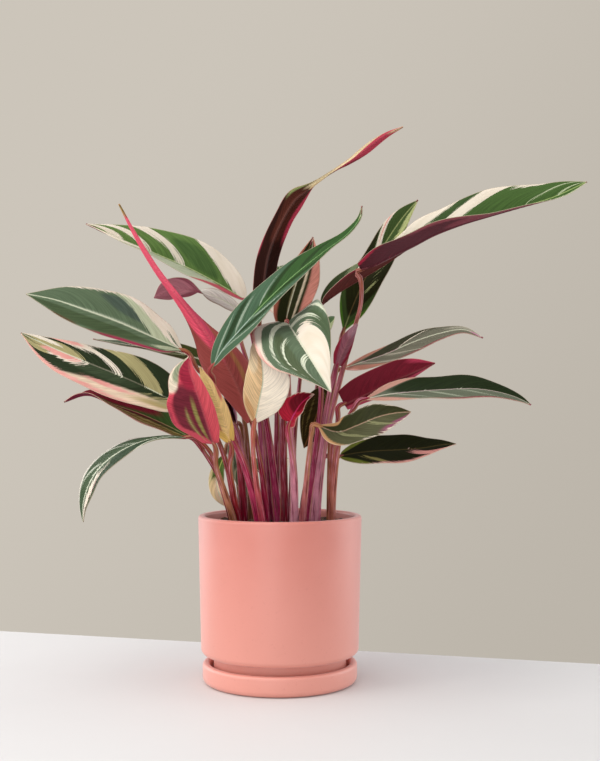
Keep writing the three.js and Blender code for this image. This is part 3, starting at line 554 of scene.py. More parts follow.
def shape_blade(name, leaf):
    """A blade as a thin closed skin on a stout midrib, with the depths of its strokes at each vertex."""
    rib = [seen(point) for point in leaf["rib"]]
    long = smooth_line(rib, [0])[2]
    steps = int(np.clip(round(long / BLADE_STEP), *BLADE_STEPS))
    made, column, row = grid("leaf_" + name, steps, 2 * BLADE_SIDE)
    u = np.arange(steps + 1) / steps
    centre, along, long = smooth_line(rib, u)
    face = values_at(leaf["face"], u)
    face = unit(face - along * (face * along).sum(axis=1, keepdims=True))
    right = np.cross(along, face)
    if "shape" in leaf:
        shares = values_at(leaf["shape"], u)
    else:
        shares = outline(u, leaf["widest"])[:, None].repeat(2, axis=1)
    folds = np.radians(values_at(leaf["fold"], u))
    curls = np.radians(values_at(leaf.get("curl", CURL), u))
    half = leaf["half"] / 1000
    neck = BLADE_NECK * (1 - NECK_TAPER * u)
    slants, bend = leaf.get("slant", [VEIN_SLANT] * 2), leaf.get("bend", VEIN_BEND)
    out = (np.arange(BLADE_SIDE + 1) / BLADE_SIDE) ** BLADE_FINER
    middle, width = (out[1:] + out[:-1]) / 2, np.diff(out)
    places = np.zeros((steps + 1, 2 * BLADE_SIDE + 1, 3))
    fields = {}
    for side, sign in ((0, -1), (1, 1)):
        root = u[:, None] - slants[side] * out[None, :] ** bend
        share = np.maximum(shares[:, side], 0)
        breadth = neck + (half - neck) * share
        angle = folds[:, side, None] + curls[:, side, None] * middle
        steps_out, steps_up = (
            np.pad(np.cumsum(turned(angle) * width, axis=1) * breadth[:, None], ((0, 0), (1, 0)))[..., None]
            for turned in (np.cos, np.sin))
        angle = (folds[:, side, None] + curls[:, side, None] * out)[..., None]
        normal = face[:, None] * np.cos(angle) - sign * right[:, None] * np.sin(angle)
        waves = np.sin(2 * np.pi * (RIPPLES * u + RIPPLE_SHIFT * sign))
        ripple = waves[:, None] * out**2 * share[:, None] * leaf["wave"] / 1000
        pleats = np.sin(2 * np.pi * root * long / PLEAT) * np.sqrt(out * (1 - out)) * 2 * PLEAT_HEIGHT
        pleats *= np.minimum(share * half / PLEAT_FULL, 1)[:, None]
        lift = ripple + pleats + SKIN_THICKNESS / 2
        half_places = centre[:, None] + sign * right[:, None] * steps_out + face[:, None] * steps_up
        half_places += normal * lift[..., None]
        place = (root, np.broadcast_to(out, root.shape), np.full(root.shape, side == 0), long, half)
        cream, bands, pink, green = (
            depth_in(leaf.get(kind, []), *place) for kind in ("cream", "bands", "pink", "green"))
        values = {
            "cream": np.minimum(cream, -green),
            "bands": np.minimum(bands, -green),
            "pink": pink,
            "edge": (1 - out)[None, :] * breadth[:, None],
            "across": sign * out[None, :] * breadth[:, None],
            "root": root * long,
            "ground": tinted(leaf["ground"], leaf.get("tints", []), *place),
            "below": tinted(leaf["below"], leaf.get("below_tints", []), *place),
        }
        at = BLADE_SIDE - sign * np.arange(BLADE_SIDE + 1)
        places[:, at] = half_places
        for key, value in values.items():
            field = fields.setdefault(key, np.zeros((steps + 1, 2 * BLADE_SIDE + 1) + value.shape[2:]))
            field[:, at[1:]] = value[:, 1:]
            field[:, at[0]] = value[:, 0] if side == 0 else np.maximum(field[:, at[0]], value[:, 0])
    set_places(made, places[column, row], fields["root"][column, row], fields["across"][column, row])
    for key in ("cream", "bands", "pink", "edge"):
        store(made.data, key, "FLOAT", fields[key][column, row])
    for key in ("ground", "below"):
        store(made.data, key, "FLOAT_COLOR", fields[key][column, row])
    store(made.data, "band", "FLOAT_COLOR", np.tile(linear(leaf.get("band", BAND)), (len(column), 1)))
    ridge = np.exp(-(fields["across"] / RIB_WIDTH) ** 2) * (1 - RIB_TAPER * u[:, None])
    thickness = (SKIN_THICKNESS + (RIB_THICKNESS - SKIN_THICKNESS) * ridge) / RIB_THICKNESS
    group = made.vertex_groups.new(name="thickness")
    for vertex, share in enumerate(thickness[column, row]):
        group.add([vertex], float(share), "REPLACE")
    made.data.materials.append(leaf_above)
    made.data.materials.append(leaf_beneath)
    skin = made.modifiers.new("skin", "SOLIDIFY")
    skin.thickness = RIB_THICKNESS
    skin.offset = -1
    skin.vertex_group = group.name
    skin.material_offset = 1
    bpy.ops.object.modifier_apply(modifier=skin.name)
    bpy.ops.object.shade_smooth()
    made.vertex_groups.clear()
    return made


def shape_stalk(name, leaf, crown):
    """A stalk: broad and sheathing at the soil, slender above, with a swollen joint under its blade."""
    joint, next_point = seen(leaf["rib"][0]), seen(leaf["rib"][1])
    onward = unit(next_point - joint)
    route = [
        np.array([*crown, (SOIL_HEIGHT - ROOT_DEPTH) * 1000]) / 1000,
        np.array([*leaf["foot"], SOIL_HEIGHT * 1000]) / 1000,
        *[seen(point) for point in reversed(leaf["stalk"])],
        joint - onward * STALK_APPROACH,
        joint + onward * STALK_UNDER - unit(np.array(leaf["face"][0], float)) * STALK_BELOW,
    ]
    made, step, side = grid("stalk_" + name, STALK_STEPS, STALK_SIDES)
    share = np.arange(STALK_STEPS + 1) / STALK_STEPS
    centre, along, long = smooth_line(route, share)
    across = unit(np.cross(along, (0, -1, 0)))
    front = unit(np.cross(across, along))
    slim = np.minimum(1, share * SLIM_PACE) ** SLIM_EASE
    left = (1 - share) * long
    swelling = 1 + SWELLING * np.exp(-(((left - SWELLING_PLACE) / SWELLING_HALF) ** 2))
    taper = np.clip(left / STALK_END, 0, 1) ** 0.5 * (1 - STALK_END_SHARE) + STALK_END_SHARE
    foot_radius = leaf["thick"] / 1000
    radius = (foot_radius + (STALK_TOP - foot_radius) * slim) * swelling * taper
    flat = STALK_FLAT - (STALK_FLAT - 1) * slim
    turn = np.arange(STALK_SIDES + 1) / STALK_SIDES * 2 * np.pi
    grooves = 1 - GROOVE_DEPTH * np.cos(turn * GROOVES)[None, :] * slim[:, None]
    sideways = np.cos(turn)[None, :] * (radius * flat)[:, None] * grooves
    forward = np.sin(turn)[None, :] * (radius / flat)[:, None] * grooves
    places = centre[:, None] + across[:, None] * sideways[..., None] + front[:, None] * forward[..., None]
    around = turn[None, :] * radius[:, None]
    set_places(made, places[step, side], (share * long)[step], around[step, side])
    low, high = (np.array(linear(leaf[end])) for end in ("low", "high"))
    store(made.data, "ground", "FLOAT_COLOR", (low + (high - low) * (share**1.2)[:, None])[step])
    made.data.materials.append(stalk_skin)
    bpy.ops.object.mode_set(mode="EDIT")
    bpy.ops.mesh.select_all(action="SELECT")
    bpy.ops.mesh.remove_doubles(threshold=1e-6)
    bpy.ops.mesh.fill_holes(sides=0)
    bpy.ops.mesh.select_all(action="SELECT")
    bpy.ops.mesh.normals_make_consistent(inside=False)
    bpy.ops.object.mode_set(mode="OBJECT")
    bpy.ops.object.shade_smooth()
    return made


def grow(shoot, leaves):
    """Makes a shoot's blades and its stalks, which grow from one crown in the soil.

    A leaf is laid out in millimetres on the upright plane through the pot's axis, as seen from the eye's
    place in front of the pot. Left and right are those of someone looking towards the leaf's tip.
      rib, stalk   points across, up, and how far behind that plane: the midrib from its base to its tip,
                   and the stalk from there down
      foot, thick  where the stalk leaves the soil, across and back, and its radius there
      low, high    the stalk's colours at the soil and at the blade
      half         widest half-width, with widest, where that is along the rib, or with shape, the shares of
                   half at even steps along the rib, [left, right]
      face         which way the upper side looks, at even steps along the rib
      fold, curl   how far each half rises from the midrib, and how much further it has turned at its
                   margin, in degrees
      wave         height of the ripples at the margins
      slant, bend  how far a side vein runs on towards the tip, as a share of the rib, [left, right], and
                   how late it turns there
      ground, below, band         colours of the upper side, the underside and the bands
      cream, bands, pink, green   strokes on the upper side, green cutting cream and bands: each is which
                   half, from and to along the rib at the vein's root, and from 0 at the midrib to 1 at
                   the margin, where a number left out is past it
      tints, below_tints          soft strokes of another ground colour, above and beneath
    """
    crown = np.mean([leaf["foot"] for leaf in leaves.values()], axis=0)
    for name, leaf in leaves.items():
        made = shape_blade(name, leaf)
        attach(made, "root")
        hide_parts("blade_" + name)
    stalks = [shape_stalk(name, leaf, crown) for name, leaf in leaves.items()]
    bpy.ops.object.select_all(action="DESELECT")
    for made in stalks:
        made.select_set(True)
    bpy.context.view_layer.objects.active = stalks[0]
    if len(stalks) > 1:
        bpy.ops.object.join()
    stalks = bpy.context.object
    stalks.name = stalks.data.name = "leaf_stalks_" + shoot
    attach(stalks, "root")
    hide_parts("stalks_" + shoot)


# Leaf cuticle over variegated tissue, alive and unpolished: a satin skin. Cream and pink lie in ragged
# strokes along the side veins, green shows fine lighter veins, and the midrib is pale.
CREAM = "#E4D8C8"
CREAM_SHADE = "#DACDB9"
FLUSH = "#D89088"
FLUSH_PALE = "#E3A79C"
MIDRIB = "#C8CBB0"
MARGIN = "#D8C4AC"
MIDRIB_LINE = (0.0004, 0.0011)  # how far from its middle its colour begins to fade, and ends
MARGIN_LINE = (0.0002, 0.0007)  # the same, from the margin
VEIN_LIGHT = (1.45, 1.4, 1.35, 1)  # a vein is this much lighter than the green beside it
RIB_LIGHT = (6.5, 4.2, 6.5, 1)  # and the midrib this much, up to its own colour
VEIN_SPACING = 0.0027
STREAK_WIDTH = 0.0016
STREAK_LENGTH = 0.016
CLOUDING = 0.018
VEIN_RELIEF = 0.0003
RAGGED = 0.0075  # how far strokes of colour reach past their smooth outline, at most
BAND_TURN = 20 / (2 * math.pi)  # wave bands turn this often in one unit
SMOOTH = {"interpolation_type": "SMOOTHSTEP"}


def veined(tree, skin):
    """Ragged streaks along the side veins, the fine veins, how far the midrib is, and the margin's line."""
    stretched = add(tree, "Mapping", (skin, (1 / STREAK_WIDTH, 1 / STREAK_LENGTH, 1)))
    streaks = add(tree, "TexNoise", (stretched, 1, 3, 0.6))
    waves = add(tree, "TexWave", {
        "Vector": skin, "Scale": 1 / (VEIN_SPACING * BAND_TURN), "Distortion": 0.6, "Detail": 2.0,
        "Detail Scale": 0.4}, give="Fac")
    across = add(tree, "SeparateXYZ", (skin,), give="Y")
    beside = add(tree, "Math", (across,), operation="ABSOLUTE")
    edge = add(tree, "Attribute", give="Fac", attribute_name="edge")
    margin = add(tree, "MapRange", (edge, *MARGIN_LINE, 0.5, 0), **SMOOTH)
    return streaks, add(tree, "MapRange", (waves, 0.55, 1)), beside, margin


def stroke(tree, name, streaks, ragged, softness):
    """Where a stroke of colour lies, its edge drawn out along the veins by the streaks."""
    depth = add(tree, "Attribute", give="Fac", attribute_name=name)
    drawn = add(tree, "Math", (streaks, 2 * ragged, depth), operation="MULTIPLY_ADD")
    return add(tree, "MapRange", (drawn, ragged - softness, ragged + softness), **SMOOTH)


leaf_above, tree = new_material("leaf_cuticle_variegated")
skin = add(tree, "UVMap", give="UV", uv_map="skin")
streaks, veins, beside, margin = veined(tree, skin)
clouds = add(tree, "MapRange", (add(tree, "TexNoise", (skin, 1 / CLOUDING, 2)), 0.35, 0.7), **SMOOTH)
ground = add(tree, "Attribute", give="Color", attribute_name="ground")
ground = add(tree, "HueSaturation", (ground, add(tree, "MapRange", (streaks, 0.3, 0.7, 0.7, 1.12), **SMOOTH)))
lighter = add(tree, "Mix", (1, ground, VEIN_LIGHT), blend_type="MULTIPLY")
green = add(tree, "Mix", (add(tree, "MapRange", (veins, 0, 1, 0, 0.16)), ground, lighter))
band = add(tree, "Attribute", give="Color", attribute_name="band")
band = add(tree, "HueSaturation", (band, add(tree, "MapRange", (streaks, 0.35, 0.65, 0.8, 1.05), **SMOOTH)))
colour = add(tree, "Mix", (stroke(tree, "bands", streaks, RAGGED, softness=0.0005), green, band))
cream = add(tree, "Mix", (clouds, linear(CREAM), linear(CREAM_SHADE)))
cream = add(tree, "Mix", (add(tree, "MapRange", (veins, 0, 1, 0, 0.3)), cream, linear(CREAM_SHADE)))
colour = add(tree, "Mix", (stroke(tree, "cream", streaks, RAGGED, softness=0.0003), colour, cream))
flush = add(tree, "Mix", (clouds, linear(FLUSH), linear(FLUSH_PALE)))
colour = add(tree, "Mix", (stroke(tree, "pink", streaks, RAGGED * 0.7, softness=0.0012), colour, flush))
ridge = add(tree, "Mix", (1, colour, RIB_LIGHT), blend_type="MULTIPLY")
ridge = add(tree, "Mix", (1, ridge, linear(MIDRIB)), blend_type="DARKEN")
rib = add(tree, "MapRange", (beside, *MIDRIB_LINE, 0.8, 0), **SMOOTH)
colour = add(tree, "Mix", (rib, colour, ridge))
colour = add(tree, "Mix", (margin, colour, linear(MARGIN)))
relief = add(tree, "Math", (veins, 0.7, streaks), operation="MULTIPLY_ADD")
add(tree, "OutputMaterial", {"Surface": add(tree, "BsdfPrincipled", {
    "Base Color": colour,
    "Roughness": add(tree, "MapRange", (streaks, 0.3, 0.7, 0.42, 0.54), **SMOOTH),
    "IOR": 1.4,
    "Specular IOR Level": 0.08,
    "Normal": add(tree, "Bump", (relief, 0.1, VEIN_RELIEF)),
})})

# Leaf underside: the same tissue with wine-red pigment in its lower skin, brighter where the upper side is
# cream, waxier and a little duller, with the midrib and side veins standing out lighter.
RIB_BENEATH = "#C98F86"
RIB_LINE_BENEATH = (0.0003, 0.001)
MARGIN_BENEATH = "#C77F78"
CREAM_BENEATH = (1.75, 1.5, 1.5, 1)  # how much brighter it is under cream, and on a vein
VEIN_BENEATH = (1.6, 1.5, 1.5, 1)

leaf_beneath, tree = new_material("leaf_underside_wine_red")
skin = add(tree, "UVMap", give="UV", uv_map="skin")
streaks, veins, beside, margin = veined(tree, skin)
below = add(tree, "Attribute", give="Color", attribute_name="below")
below = add(tree, "HueSaturation", (below, add(tree, "MapRange", (streaks, 0.3, 0.7, 0.72, 1.12), **SMOOTH)))
bright = add(tree, "Mix", (1, below, CREAM_BENEATH), blend_type="MULTIPLY")
colour = add(tree, "Mix", (stroke(tree, "cream", streaks, RAGGED, softness=0.0008), below, bright))
bright = add(tree, "Mix", (1, colour, VEIN_BENEATH), blend_type="MULTIPLY")
colour = add(tree, "Mix", (add(tree, "MapRange", (veins, 0, 1, 0, 0.12)), colour, bright))
ridge = add(tree, "Mix", (0.5, below, linear(RIB_BENEATH)))
rib = add(tree, "MapRange", (beside, *RIB_LINE_BENEATH, 0.18, 0), **SMOOTH)
colour = add(tree, "Mix", (rib, colour, ridge))
colour = add(tree, "Mix", (margin, colour, linear(MARGIN_BENEATH)))
relief = add(tree, "Math", (veins, 0.8, streaks), operation="MULTIPLY_ADD")
add(tree, "OutputMaterial", {"Surface": add(tree, "BsdfPrincipled", {
    "Base Color": colour,
    "Roughness": add(tree, "MapRange", (streaks, 0.3, 0.7, 0.45, 0.58), **SMOOTH),
    "IOR": 1.4,
    "Specular IOR Level": 0.08,
    "Normal": add(tree, "Bump", (relief, 0.13, VEIN_RELIEF)),
})})

# Leaf stalk: a fleshy, faintly ribbed skin, tinted crimson to pink over pale green, with fine lighter
# lines along it, a tan stripe here and there, and a soft gloss. Each pattern is long by wide.
STALK_LIGHT = "#E0A2B2"
STALK_TAN = "#A67A50"
STALK_DEEP = (0.42, 0.2, 0.26, 1)  # how much darker the deep lines are
STALK_LINES = (0.03, 0.0009)
STALK_BLOTCHES = (0.012, 0.006)
STALK_STRIPES = (0.09, 0.004)

stalk_skin, tree = new_material("stalk_skin_crimson")
skin = add(tree, "UVMap", give="UV", uv_map="skin")
lines, blotches, stripes = (
    add(tree, "TexNoise", (add(tree, "Mapping", (skin, (1 / long, 1 / wide, 1), start)), 1, detail))
    for (long, wide), start, detail in (
        (STALK_LINES, (0, 0, 0), 3), (STALK_BLOTCHES, (0, 0, 0), 2), (STALK_STRIPES, (3, 5, 0), 1)))
ground = add(tree, "Attribute", give="Color", attribute_name="ground")
shade = add(tree, "MapRange", (blotches, 0.3, 0.7, 0.8, 1.15), **SMOOTH)
ground = add(tree, "HueSaturation", (ground, shade, 1.12))
deep = add(tree, "Mix", (1, ground, STALK_DEEP), blend_type="MULTIPLY")
colour = add(tree, "Mix", (add(tree, "MapRange", (lines, 0.46, 0.34), **SMOOTH), ground, deep))
lit = add(tree, "MapRange", (lines, 0.54, 0.68, 0, 0.6), **SMOOTH)
colour = add(tree, "Mix", (lit, colour, linear(STALK_LIGHT)))
tan = add(tree, "MapRange", (stripes, 0.58, 0.66, 0, 0.55), **SMOOTH)
colour = add(tree, "Mix", (tan, colour, linear(STALK_TAN)))
add(tree, "OutputMaterial", {"Surface": add(tree, "BsdfPrincipled", {
    "Base Color": colour,
    "Roughness": add(tree, "MapRange", (lines, 0.3, 0.7, 0.36, 0.5), **SMOOTH),
    "IOR": 1.4,
    "Specular IOR Level": 0.35,
    "Normal": add(tree, "Bump", (lines, 0.25, VEIN_RELIEF)),
})})

grow("left_inner", {
    "upper_left": dict(
        rib=[[-35, 380, 22], [-60, 395, 18], [-90, 411, 12], [-122, 425, 4], [-158, 440, -4],
             [-194, 456, -10]], half=31, widest=0.34,
        face=[[0.1, -0.7, 0.7], [0, -0.75, 0.66], [0.1, -0.6, 0.8]],
        fold=[[38, 38]], curl=[[-10, -14]], wave=1.2,
        stalk=[[-40, 350, 16], [-33, 318, 10], [-22, 280, 6], [-18, 230, 4]], foot=[-14, 10], thick=4,
        ground="#5F7B41", below="#6E2238", band="#A9AE94",
        cream=[("right", -0.5, 0.12), ("right", 0.39, 0.46), ("right", 0.42, 0.5, 0.5), ("right", 0.6, 0.68),
               ("right", 0.76, 0.88), ("right", 0.6, 1.2, 0.85), ("left", 0.55, 0.95, 0.2)],
        bands=[("left", 0.08, 0.6, 0.15), ("left", 0.6, 1.2, -0.2, 0.4)],
        tints=[("#B04A56", "left", -0.4, 0.24, 0.25), ("#4A6536", "right", 0.15, 0.36, 0.1, 0.8),
               ("#5A4A30", "both", 0.97, 1.4)],
        low="#A85A78", high="#8C3D4A"),
    "left_curled": dict(
        rib=[[-38, 368, 44], [-60, 381, 42], [-84, 389, 38], [-107, 391, 36], [-126, 382, 34]], half=15,
        shape=[[0.1, 0.1], [0.6, 0.6], [0.8, 0.8], [0.9, 0.9], [1, 1], [0.85, 0.85], [0, 0]],
        face=[[0, -0.8, 0.6], [0, -0.6, 0.8], [-0.2, 0.5, 0.8], [-0.4, 0.9, 0.2]],
        fold=[[14, 14]], curl=[[-20, -20]], wave=1.4,
        stalk=[[-28, 345, 44], [-21, 300, 38], [-16, 240, 26]], foot=[-10, 18], thick=4,
        # Painted sheen: the pale grey ground stands in for the silvery sheen on this blade's upper side.
        ground="#D8D2C8", below="#96505E",
        tints=[("#A8606E", "both", 0.52, 1.4), ("#7A5A48", "both", -0.4, 0.6, 0.92)],
        below_tints=[("#C07C88", "both", 0.5, 1.4)],
        low="#8E3A52", high="#7A3040"),
})

# ---------------------------------------------------------------- shoot: left_front
#
# Three leaves at the front left of the clump: a blade still half rolled that shows its crimson back, a
# long narrow blade laid across the front, and a small new one that is still a cup.

grow("left_front", {
    "pink_spear": dict(
        rib=[[-29, 258, -34], [-45, 298, -36], [-66, 335, -38], [-92, 370, -40], [-121, 408, -42],
             [-144, 445, -44], [-161, 476, -46]], half=31,
        shape=[[0.15, 0.1], [0.7, 0.45], [1, 0.75], [0.95, 0.85], [0.62, 0.62], [0.4, 0.4], [0.33, 0.33],
               [0.29, 0.29], [0.25, 0.25], [0.15, 0.15], [0, 0]],
        face=[[-0.2, 0.95, 0.1], [-0.4, 0.9, 0.2], [-0.5, 0.8, 0.3]],
        fold=[[10, 10], [20, 20], [24, 24]], curl=[[40, 40], [60, 60], [130, 130], [130, 130]], wave=0,
        stalk=[[-21, 225, -30], [-16, 190, -24]], foot=[-14, -20], thick=5,
        slant=[0.2, 0.2], ground="#7A8C62", below="#CC4A60",
        pink=[("both", 0.6, 1.2, 0.7)],
        below_tints=[("#E8586F", "right", -0.4, 1.3, 0.15), ("#E2566E", "both", 0.5, 1.3),
                     ("#B8455C", "left", -0.4, 0.6, 0.1), ("#9C4A46", "both", -0.5, 0.36),
                     ("#A06A44", "left", -0.4, 0.3, 0.3, 0.5), ("#A88A44", "both", 0.9, 1.4)],
        low="#A03452", high="#6E2A24"),
    "young_cup": dict(
        rib=[[-45, 256, -14], [-51, 272, -14], [-56, 290, -12]], half=9, widest=0.45,
        face=[[0.2, -0.9, 0.2], [0.2, -0.9, 0.2]],
        fold=[[30, 30]], curl=[[60, 60]], wave=0,
        stalk=[[-36, 225, -16], [-27, 190, -16]], foot=[-21, -14], thick=4,
        ground="#2A0E14", below="#9A5874",
        tints=[("#CC90AA", "both", -0.4, 1.3, 0.5), ("#8C4A60", "both", 0.7, 1.3)],
        low="#84304A", high="#8A5060"),
    "centre_long": dict(
        rib=[[-67, 314, -66], [-57, 330, -68], [-38, 352, -68], [-12, 380, -64], [16, 406, -58],
             [44, 428, -52], [68, 446, -48], [80, 462, -46], [82, 474, -45]], half=21, widest=0.32,
        face=[[-0.5, -0.75, 0.4], [-0.45, -0.75, 0.45], [-0.4, -0.6, 0.7], [-0.4, -0.5, 0.8]],
        fold=[[14, 26]], curl=[[-8, -10]], wave=1,
        stalk=[[-67, 302, -62], [-64, 285, -54], [-54, 255, -42], [-36, 215, -34]], foot=[-20, -26],
        thick=4.5,
        # Painted highlights: the light bands along the side veins near the base, and the paler bluish tint
        # there, stand in for gloss on that part of the blade.
        ground="#35552A", below="#6A2236", band="#8C9A86",
        bands=[("left", 0.0, 0.03, 0.12, 0.8), ("left", 0.16, 0.19, 0.15, 0.75),
               ("right", 0.06, 0.1, 0.1, 0.85), ("right", 0.24, 0.27, 0.15, 0.8),
               ("left", 0.32, 0.34, 0.2, 0.7)],
        tints=[("#48624A", "both", -0.4, 0.36), ("#2B3E26", "left", 0.06, 0.14, 0.1, 0.9),
               ("#2B3E26", "right", 0.14, 0.22, 0.1, 0.9), ("#263A1C", "left", 0.36, 0.42, 0.1, 0.9),
               ("#263A1C", "right", 0.4, 0.48, 0.1, 0.9), ("#2A4020", "left", 0.56, 0.62, 0.1, 0.8),
               ("#8A8A5A", "both", 0.9, 1.4)],
        low="#B8486A", high="#9A4A48"),
})

# ---------------------------------------------------------------- shoot: left
#
# Three leaves that lean out to the left, one above another, on arched stalks.

grow("left", {
    "left_long": dict(
        rib=[[-98, 330, -22], [-130, 344, -30], [-162, 358, -38], [-195, 370, -46], [-225, 380, -52],
             [-254, 386, -58]], half=31,
        shape=[[0, 0], [0.38, 0.6], [0.52, 0.82], [0.6, 0.95], [0.66, 1], [0.72, 0.98], [0.72, 0.9],
               [0.66, 0.74], [0.54, 0.52], [0.32, 0.26], [0, 0]],
        face=[[0.1, -0.75, 0.66], [0, -0.8, 0.6], [0, -0.75, 0.66]],
        fold=[[16, 16]], curl=[[-30, -12]], wave=1.2,
        stalk=[[-80, 308, -14], [-62, 300, -8], [-50, 280, -4], [-42, 235, 0], [-38, 190, 2]], foot=[-37, 4],
        thick=4.5,
        ground="#5C6D53", below="#6A2036", band="#B6BE9E",
        cream=[("right", -0.9, 0.1, -0.3, 2.2), ("right", -0.7, 0.26, 0.8), ("right", 0.1, 0.6, 0.94)],
        green=[("right", -0.035, 0.005, 0.2, 0.6)],
        bands=[("right", 0.02, 0.23, -0.1, 1.4), ("left", -0.3, 0.02, 0.3, 0.75)],
        tints=[("#4A584C", "right", 0.14, 0.4, 0.3, 0.85), ("#47563A", "left", 0.1, 0.9, 0.35, 0.9),
               ("#B4BCA4", "both", 0.0, 0.95, -0.2, 0.05), ("#A03450", "left", -0.3, 0.36, 0.84),
               ("#5A4630", "left", 0.36, 0.62, 0.9)],
        low="#8E2A40", high="#9A5048"),
    "left_pink_edge": dict(
        rib=[[-92, 273, -38], [-113, 282, -44], [-135, 293, -50], [-162, 305, -56], [-194, 318, -60],
             [-225, 331, -62], [-259, 347, -64]], half=27,
        shape=[[0, 0], [0.55, 0.75], [0.8, 0.98], [0.95, 1], [1.02, 0.92], [1.06, 0.82], [1.06, 0.7],
               [0.98, 0.57], [0.78, 0.4], [0.46, 0.22], [0, 0]],
        face=[[0.2, -0.85, 0.5], [0.15, -0.86, 0.5], [0.1, -0.8, 0.6]],
        fold=[[14, 12]], curl=[[-10, -12]], wave=1.5,
        stalk=[[-74, 262, -26], [-62, 240, -16], [-52, 210, -8]], foot=[-43, -3], thick=4,
        ground="#2A3420", below="#7A2A40", band="#A89E70",
        cream=[("right", 0.39, 0.46, -0.05), ("right", 0.42, 0.58, 0.6), ("right", 0.66, 0.84, 0.35),
               ("left", 0.6, 0.8, -0.1, 0.38), ("left", 0.1, 1.3, 0.85), ("right", 0.1, 1.3, 0.94)],
        green=[("right", 0.9, 1.3, 0.1, 0.8), ("left", 0.86, 1.2, 0.2, 0.7)],
        bands=[("right", 0.13, 0.29, -0.1), ("right", 0.62, 0.9, -0.2, 0.8), ("left", -0.6, 0.12, -0.1, 0.66),
               ("left", 0.72, 1.3, -0.1), ("right", -0.6, 0.0, -0.1, 0.3)],
        pink=[("left", -0.05, 1.3, 0.84), ("left", 0.2, 0.44, 0.5, 0.66), ("right", 0.42, 0.6, 0.75),
              ("left", 0.64, 0.84, -0.05, 0.3), ("right", 0.7, 1.0, 0.78)],
        tints=[("#3A4630", "left", 0.3, 0.8, 0.0, 0.4), ("#E2C8AE", "left", -0.4, 0.5, 0.42),
               ("#B4A070", "left", -0.4, 0.14, 0.5, 0.8)],
        low="#7A1C30", high="#A0584C"),
    "left_under": dict(
        rib=[[-91, 243, -10], [-117, 256, -16], [-140, 266, -22], [-166, 275, -28], [-192, 285, -32],
             [-216, 278, -36]], half=20, widest=0.4,
        face=[[0.1, -0.6, 0.8], [0.1, -0.55, 0.8], [0.1, -0.3, 0.9], [0.1, 0.5, 0.8]],
        fold=[[18, 22]], curl=[[-10, 10]], wave=1.2,
        stalk=[[-76, 228, -2], [-62, 205, 2], [-52, 180, 4]], foot=[-43, 7], thick=3.5,
        ground="#4C6A36", below="#6E2036", band="#B8AC6C",
        cream=[("left", -0.3, 1.2, 0.93)],
        bands=[("left", -0.2, 0.9, 0.4, 0.56), ("left", -0.1, 0.6, 0.72, 0.82)],
        pink=[("left", -0.3, 1.3, 0.9)],
        tints=[("#8A7A3E", "left", -0.2, 0.9, 0.35), ("#8A2C3A", "right", 0.12, 1.3, 0.1),
               ("#6E2430", "left", 0.2, 1.3, -0.1, 0.34), ("#C05A6A", "both", 0.86, 1.4)],
        low="#6A1626", high="#8A3A3C"),
})

# ---------------------------------------------------------------- shoot: front_left
#
# Three leaves at the front left: an upright one turned to show its red back, a narrow one behind it, and a
# blade that arches out and hangs beside the pot.

